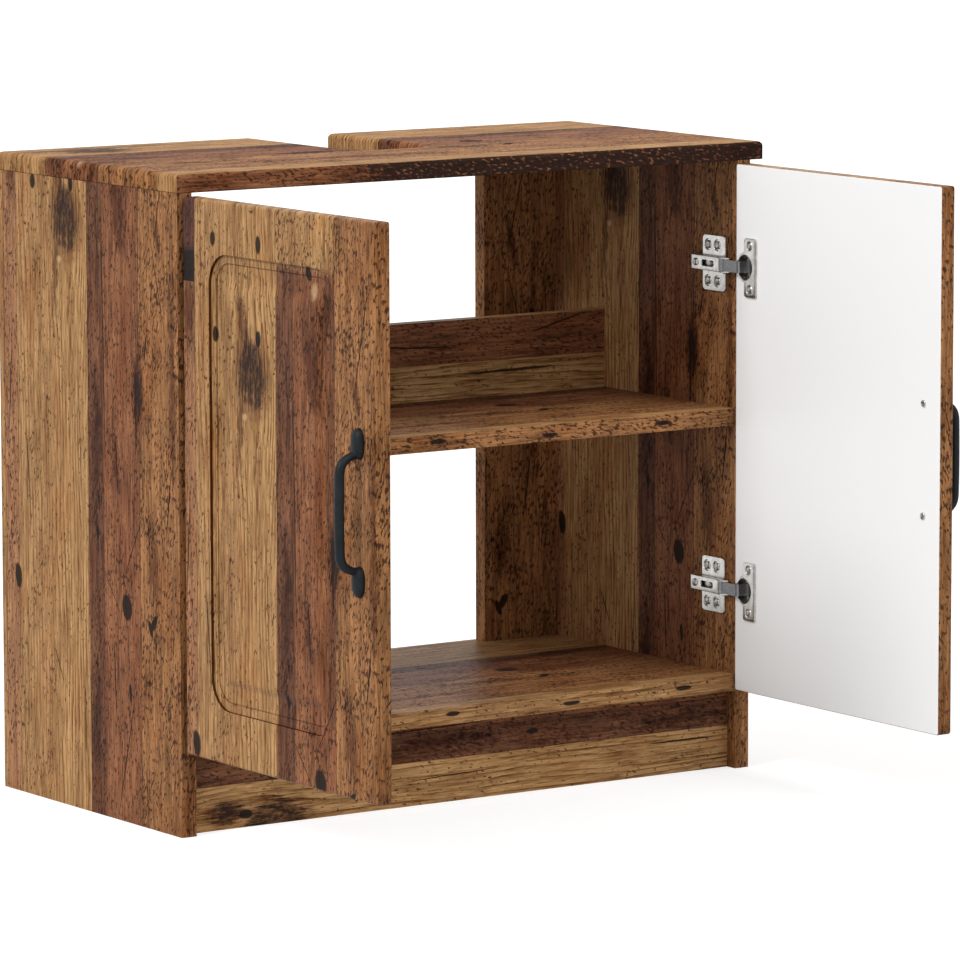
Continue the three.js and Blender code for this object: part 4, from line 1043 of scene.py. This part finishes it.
def mounting_plate():
    """Two wings with a raised saddle between them."""
    wings = moved_to(
        sheet_plate(
            (PLATE_REAR - PLATE_FRONT) / 2, PLATE_HALF_HEIGHT, PLATE_CORNER, PLATE_THICKNESS, 0.4),
        (0, (PLATE_FRONT + PLATE_REAR) / 2, 0))
    wings = carved(wings, *[
        dish_cutter((PLATE_THICKNESS, y, z), PLATE_DISH_RADIUS) for y, z in PLATE_SCREW_PLACES])
    saddle = moved_to(
        sheet_plate((SADDLE_REAR - PLATE_FRONT) / 2, SADDLE_HALF_HEIGHT, 0.8, SADDLE_RISE, 0.7),
        (0, (PLATE_FRONT + SADDLE_REAR) / 2, 0))
    lip = moved_to(
        sheet_plate(0.9, SADDLE_HALF_HEIGHT + 2.6, 0.8, SADDLE_RISE - 1.2, 0.5),
        (0, PLATE_FRONT + 1.2, 0))
    return merged(wings, saddle, lip)


ARM_NOSE_RADIUS = 2.7
ARM_HALF_HEIGHT = 7.0
ARM_SHEET = 1.2
ARM_WEB_FRONT = 15.1
ARM_REAR = 62.0
ARM_FRONT_RISE = 9.6
ARM_REAR_RISE = 8.0
ARM_FOOT = 5.3
ARM_SLOT_PLACE = 34.5
ARM_SLOT_HALF_LENGTH = 10.5
ARM_SLOT_HALF_HEIGHT = 3.2
ARM_SCREW_PLACE = 54.5
ADJUSTER_PLACE = 32.5


def arc_points(middle, radius, start_degrees, end_degrees, steps):
    """Points of an arc in plan."""
    points = []
    for step in range(steps + 1):
        angle = math.radians(start_degrees + (end_degrees - start_degrees) * step / steps)
        points.append((middle[0] + radius * math.cos(angle), middle[1] + radius * math.sin(angle)))
    return points


def plan_prism(points, low, high):
    """Upright prism on a plan outline."""
    prism = bmesh.new()
    verts = [prism.verts.new((x, y, low)) for x, y in points]
    face = prism.faces.new(verts)
    made = bmesh.ops.extrude_face_region(prism, geom=[face])["geom"]
    bmesh.ops.translate(prism, vec=(0, 0, high - low), verts=verts_of(made))
    bmesh.ops.recalc_face_normals(prism, faces=prism.faces)
    return prism


def pin_place(name, wall, outward):
    """Plan place of a pin of the frame, inwards from the side panel and back from the front."""
    low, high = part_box(name)
    return ((low.x + high.x) / 2 - wall) * -outward * 1000, (low.y + high.y) / 2 * 1000 - front


def hinge_arm(outer_pin, inner_pin):
    """Channel of bent sheet that holds the two link pins between its cheeks."""
    outline = [(ARM_FOOT, ARM_REAR), (ARM_FOOT, PLATE_FRONT)]
    outline += arc_points(inner_pin, ARM_NOSE_RADIUS, 180, 285, 8)
    outline += arc_points(outer_pin, ARM_NOSE_RADIUS, -20, 50, 6)
    outline += [(ARM_FRONT_RISE, ARM_WEB_FRONT + 4), (ARM_REAR_RISE, ARM_REAR)]
    arm = plan_prism(outline, -ARM_HALF_HEIGHT, ARM_HALF_HEIGHT)
    long_edges = [edge for edge in arm.edges if edge.calc_face_angle(0) > SHARP_EDGE and min(
        vert.co.x for vert in edge.verts) > ARM_FOOT + 1]
    bmesh.ops.bevel(
        arm, geom=long_edges, offset=0.6, offset_type="OFFSET", segments=3, profile=0.5, affect="EDGES",
        material=-1)
    inside = ARM_HALF_HEIGHT - ARM_SHEET
    slope = (ARM_REAR_RISE - ARM_FRONT_RISE) / (ARM_REAR - ARM_WEB_FRONT - 4)
    channel = plan_prism([
        (-1, ARM_REAR + 2), (-1, 2), (14, 2), (14, ARM_WEB_FRONT),
        (ARM_FRONT_RISE - ARM_SHEET, ARM_WEB_FRONT), (ARM_FRONT_RISE - ARM_SHEET, ARM_WEB_FRONT + 4),
        (ARM_REAR_RISE - ARM_SHEET + 2 * slope, ARM_REAR + 2)], -inside, inside)
    slot = moved_to(
        sheet_plate(ARM_SLOT_HALF_LENGTH, ARM_SLOT_HALF_HEIGHT, ARM_SLOT_HALF_HEIGHT - 0.4, 6, 0.05),
        (ARM_FRONT_RISE - 4, ARM_SLOT_PLACE, 0))
    holes = [cone_cutter((0, ARM_SCREW_PLACE, 0), 2.4, 2.4, 4, 14)]
    for x, y in (outer_pin, inner_pin):
        bore = bmesh.new()
        bmesh.ops.create_cone(
            bore, cap_ends=True, segments=20, radius1=1.5, radius2=1.5, depth=20,
            matrix=Matrix.Translation((x, y, 0)))
        holes.append(bore)
    return carved(arm, channel, slot, *holes)


def cup_pressing():
    """Deep-drawn cup with its rim, and the flange that its two screws hold."""
    cup = bmesh.new()
    inner = CUP_RADIUS - CUP_WALL
    outline = [
        (-CUP_DEPTH, 0.0), (-CUP_DEPTH, CUP_RADIUS - 1.6), (-CUP_DEPTH + 0.5, CUP_RADIUS - 0.5),
        (-CUP_DEPTH + 1.6, CUP_RADIUS), (0, CUP_RADIUS), (0, CUP_RADIUS + CUP_RIM),
        (CUP_RIM_RISE * 0.6, CUP_RADIUS + CUP_RIM), (CUP_RIM_RISE, CUP_RADIUS + CUP_RIM * 0.5),
        (CUP_RIM_RISE, CUP_MOUTH + 0.4), (CUP_RIM_RISE * 0.6, CUP_MOUTH), (0, CUP_MOUTH),
        (-0.3, inner), (-CUP_DEPTH + 2.2, inner), (-CUP_DEPTH + 1.2, inner - 0.5),
        (-CUP_DEPTH + CUP_WALL, inner - 1.6), (-CUP_DEPTH + CUP_WALL, 0.0),
    ]
    verts = [cup.verts.new((along, out, 0)) for along, out in outline]
    edges = [cup.edges.new(pair) for pair in zip(verts, verts[1:])]
    bmesh.ops.spin(
        cup, geom=verts + edges, cent=(0, 0, 0), axis=(1, 0, 0), angle=2 * math.pi, steps=48,
        use_merge=True)
    bmesh.ops.remove_doubles(cup, verts=cup.verts, dist=0.001)
    moved_to(cup, (DOOR_FACE, HINGE_EDGE - CUP_INSET, 0))
    middle = HINGE_EDGE - FLANGE_START - FLANGE_WIDTH / 2
    flange = moved_to(
        sheet_plate(FLANGE_WIDTH / 2, FLANGE_HALF_HEIGHT, FLANGE_CORNER, FLANGE_THICKNESS, 0.5),
        (DOOR_FACE, middle, 0))
    screw_line = HINGE_EDGE - FLANGE_SCREW_INSET
    face = DOOR_FACE + FLANGE_THICKNESS
    cuts = [
        dish_cutter((face, screw_line, end * FLANGE_SCREW_SPREAD), FLANGE_DISH_RADIUS)
        for end in (-1, 1)]
    cuts.append(cone_cutter((DOOR_FACE, HINGE_EDGE - CUP_INSET, 0), inner + 0.1, inner + 0.1, -2, 6))
    return merged(cup, carved(flange, *cuts))


def hinge_screws():
    """Wood screws of the plate, and the fixing and adjusting screws of the arm."""
    seat = PLATE_THICKNESS - DISH_DEPTH
    screws = [moved_to(
        screw_shape(PLATE_SCREW_RADIUS, PLATE_SCREW_RISE, 1.6, 12, 25 + 37 * count), (seat, y, z))
        for count, (y, z) in enumerate(PLATE_SCREW_PLACES)]
    slope = (ARM_FRONT_RISE - ARM_REAR_RISE) / (ARM_REAR - ARM_WEB_FRONT - 4)
    rise = ARM_REAR_RISE + slope * (ARM_REAR - ARM_SCREW_PLACE)
    screws.append(moved_to(screw_shape(3.7, 1.9, 2.0, rise - 2.4, 40), (rise + 0.1, ARM_SCREW_PLACE, 0)))
    rise = ARM_REAR_RISE + slope * (ARM_REAR - ADJUSTER_PLACE)
    screws.append(moved_to(screw_shape(2.7, 0.9, 2.6, rise - 4.0, 10), (rise - 1.6, ADJUSTER_PLACE, 0)))
    return merged(*screws)


def cup_screws():
    """Two wood screws of the flange."""
    seat = DOOR_FACE + FLANGE_THICKNESS - DISH_DEPTH
    return merged(*[moved_to(
        screw_shape(PLATE_SCREW_RADIUS, PLATE_SCREW_RISE, 1.6, 11, 55 - 30 * end),
        (seat, HINGE_EDGE - FLANGE_SCREW_INSET, end * FLANGE_SCREW_SPREAD)) for end in (-1, 1)])


for hand, outward in (("left", -1), ("right", 1)):
    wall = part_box(f"{hand}_side_panel")[1 if outward < 0 else 0].x
    for level in ("lower", "upper"):
        name = f"{hand}_{level}"
        low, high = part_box(f"{name}_hinge_plate")
        place = Matrix.Translation((wall, front / 1000, (low.z + high.z) / 2))
        place = place @ Matrix.Diagonal((-outward / 1000, 0.001, 0.001, 1))
        pins = [pin_place(f"{name}_{link}_link_pin", wall, outward) for link in ("outer", "inner")]
        add_piece(
            f"{name}_mounting_plate", mounting_plate(), place, "carcass", [nickel],
            [f"{name}_hinge_plate"], crease_degrees=20)
        add_piece(
            f"{name}_arm_channel", hinge_arm(*pins), place, "carcass", [nickel],
            [f"{name}_hinge_arm"], crease_degrees=35)
        add_piece(
            f"{name}_plate_screws", hinge_screws(), place, "carcass", [zinc],
            crease_degrees=40)
        add_piece(
            f"{name}_cup_and_flange", cup_pressing(), place, f"{hand}_door", [nickel],
            [f"{name}_hinge_cup"], crease_degrees=35)
        add_piece(
            f"{name}_cup_screws", cup_screws(), place, f"{hand}_door", [zinc],
            crease_degrees=40)
        for part in ("outer_link", "inner_link"):
            # The links take the darker grey, which is painted shade.
            dress(f"{name}_{part}", shaded_link_steel)
        for part in ("outer_link_pin", "inner_link_pin"):
            dress(f"{name}_{part}", nickel)


# Cams, bolts and dowels.
# Zinc cams and bolts lock the deck and the shelf to the side panels, and fluted beech dowels hold
# the top.

# Beech is bare, pale and dull. Its short dark rays are drawn 0.7 mm wide and 8 mm long, coarser than
# they are, so that they show.
RAYS_PER_METRE = (1400, 1400, 130)
beech, tree = new_material("bare_beech")
where = node(tree, "TexCoord").outputs["Object"]
grain = node(tree, "Mapping", {"Vector": where, "Scale": RAYS_PER_METRE})
rays = node(tree, "TexNoise", {"Vector": grain, "Scale": 1, "Detail": 3, "Roughness": 0.6})
tone = two_tone(tree, rays, 0.4, 0.7, ("#d6b280", "#a87b4c"))
relief = node(tree, "Bump", {"Height": rays, "Strength": 0.3, "Distance": 0.0002})
finish_material(tree, node(tree, "BsdfPrincipled", {
    "Base Color": tone, "Roughness": 0.8, "Normal": relief}))
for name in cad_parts:
    if "dowel" in name:
        dress(name, beech)
    elif "cam_" in name:
        dress(name, zinc)
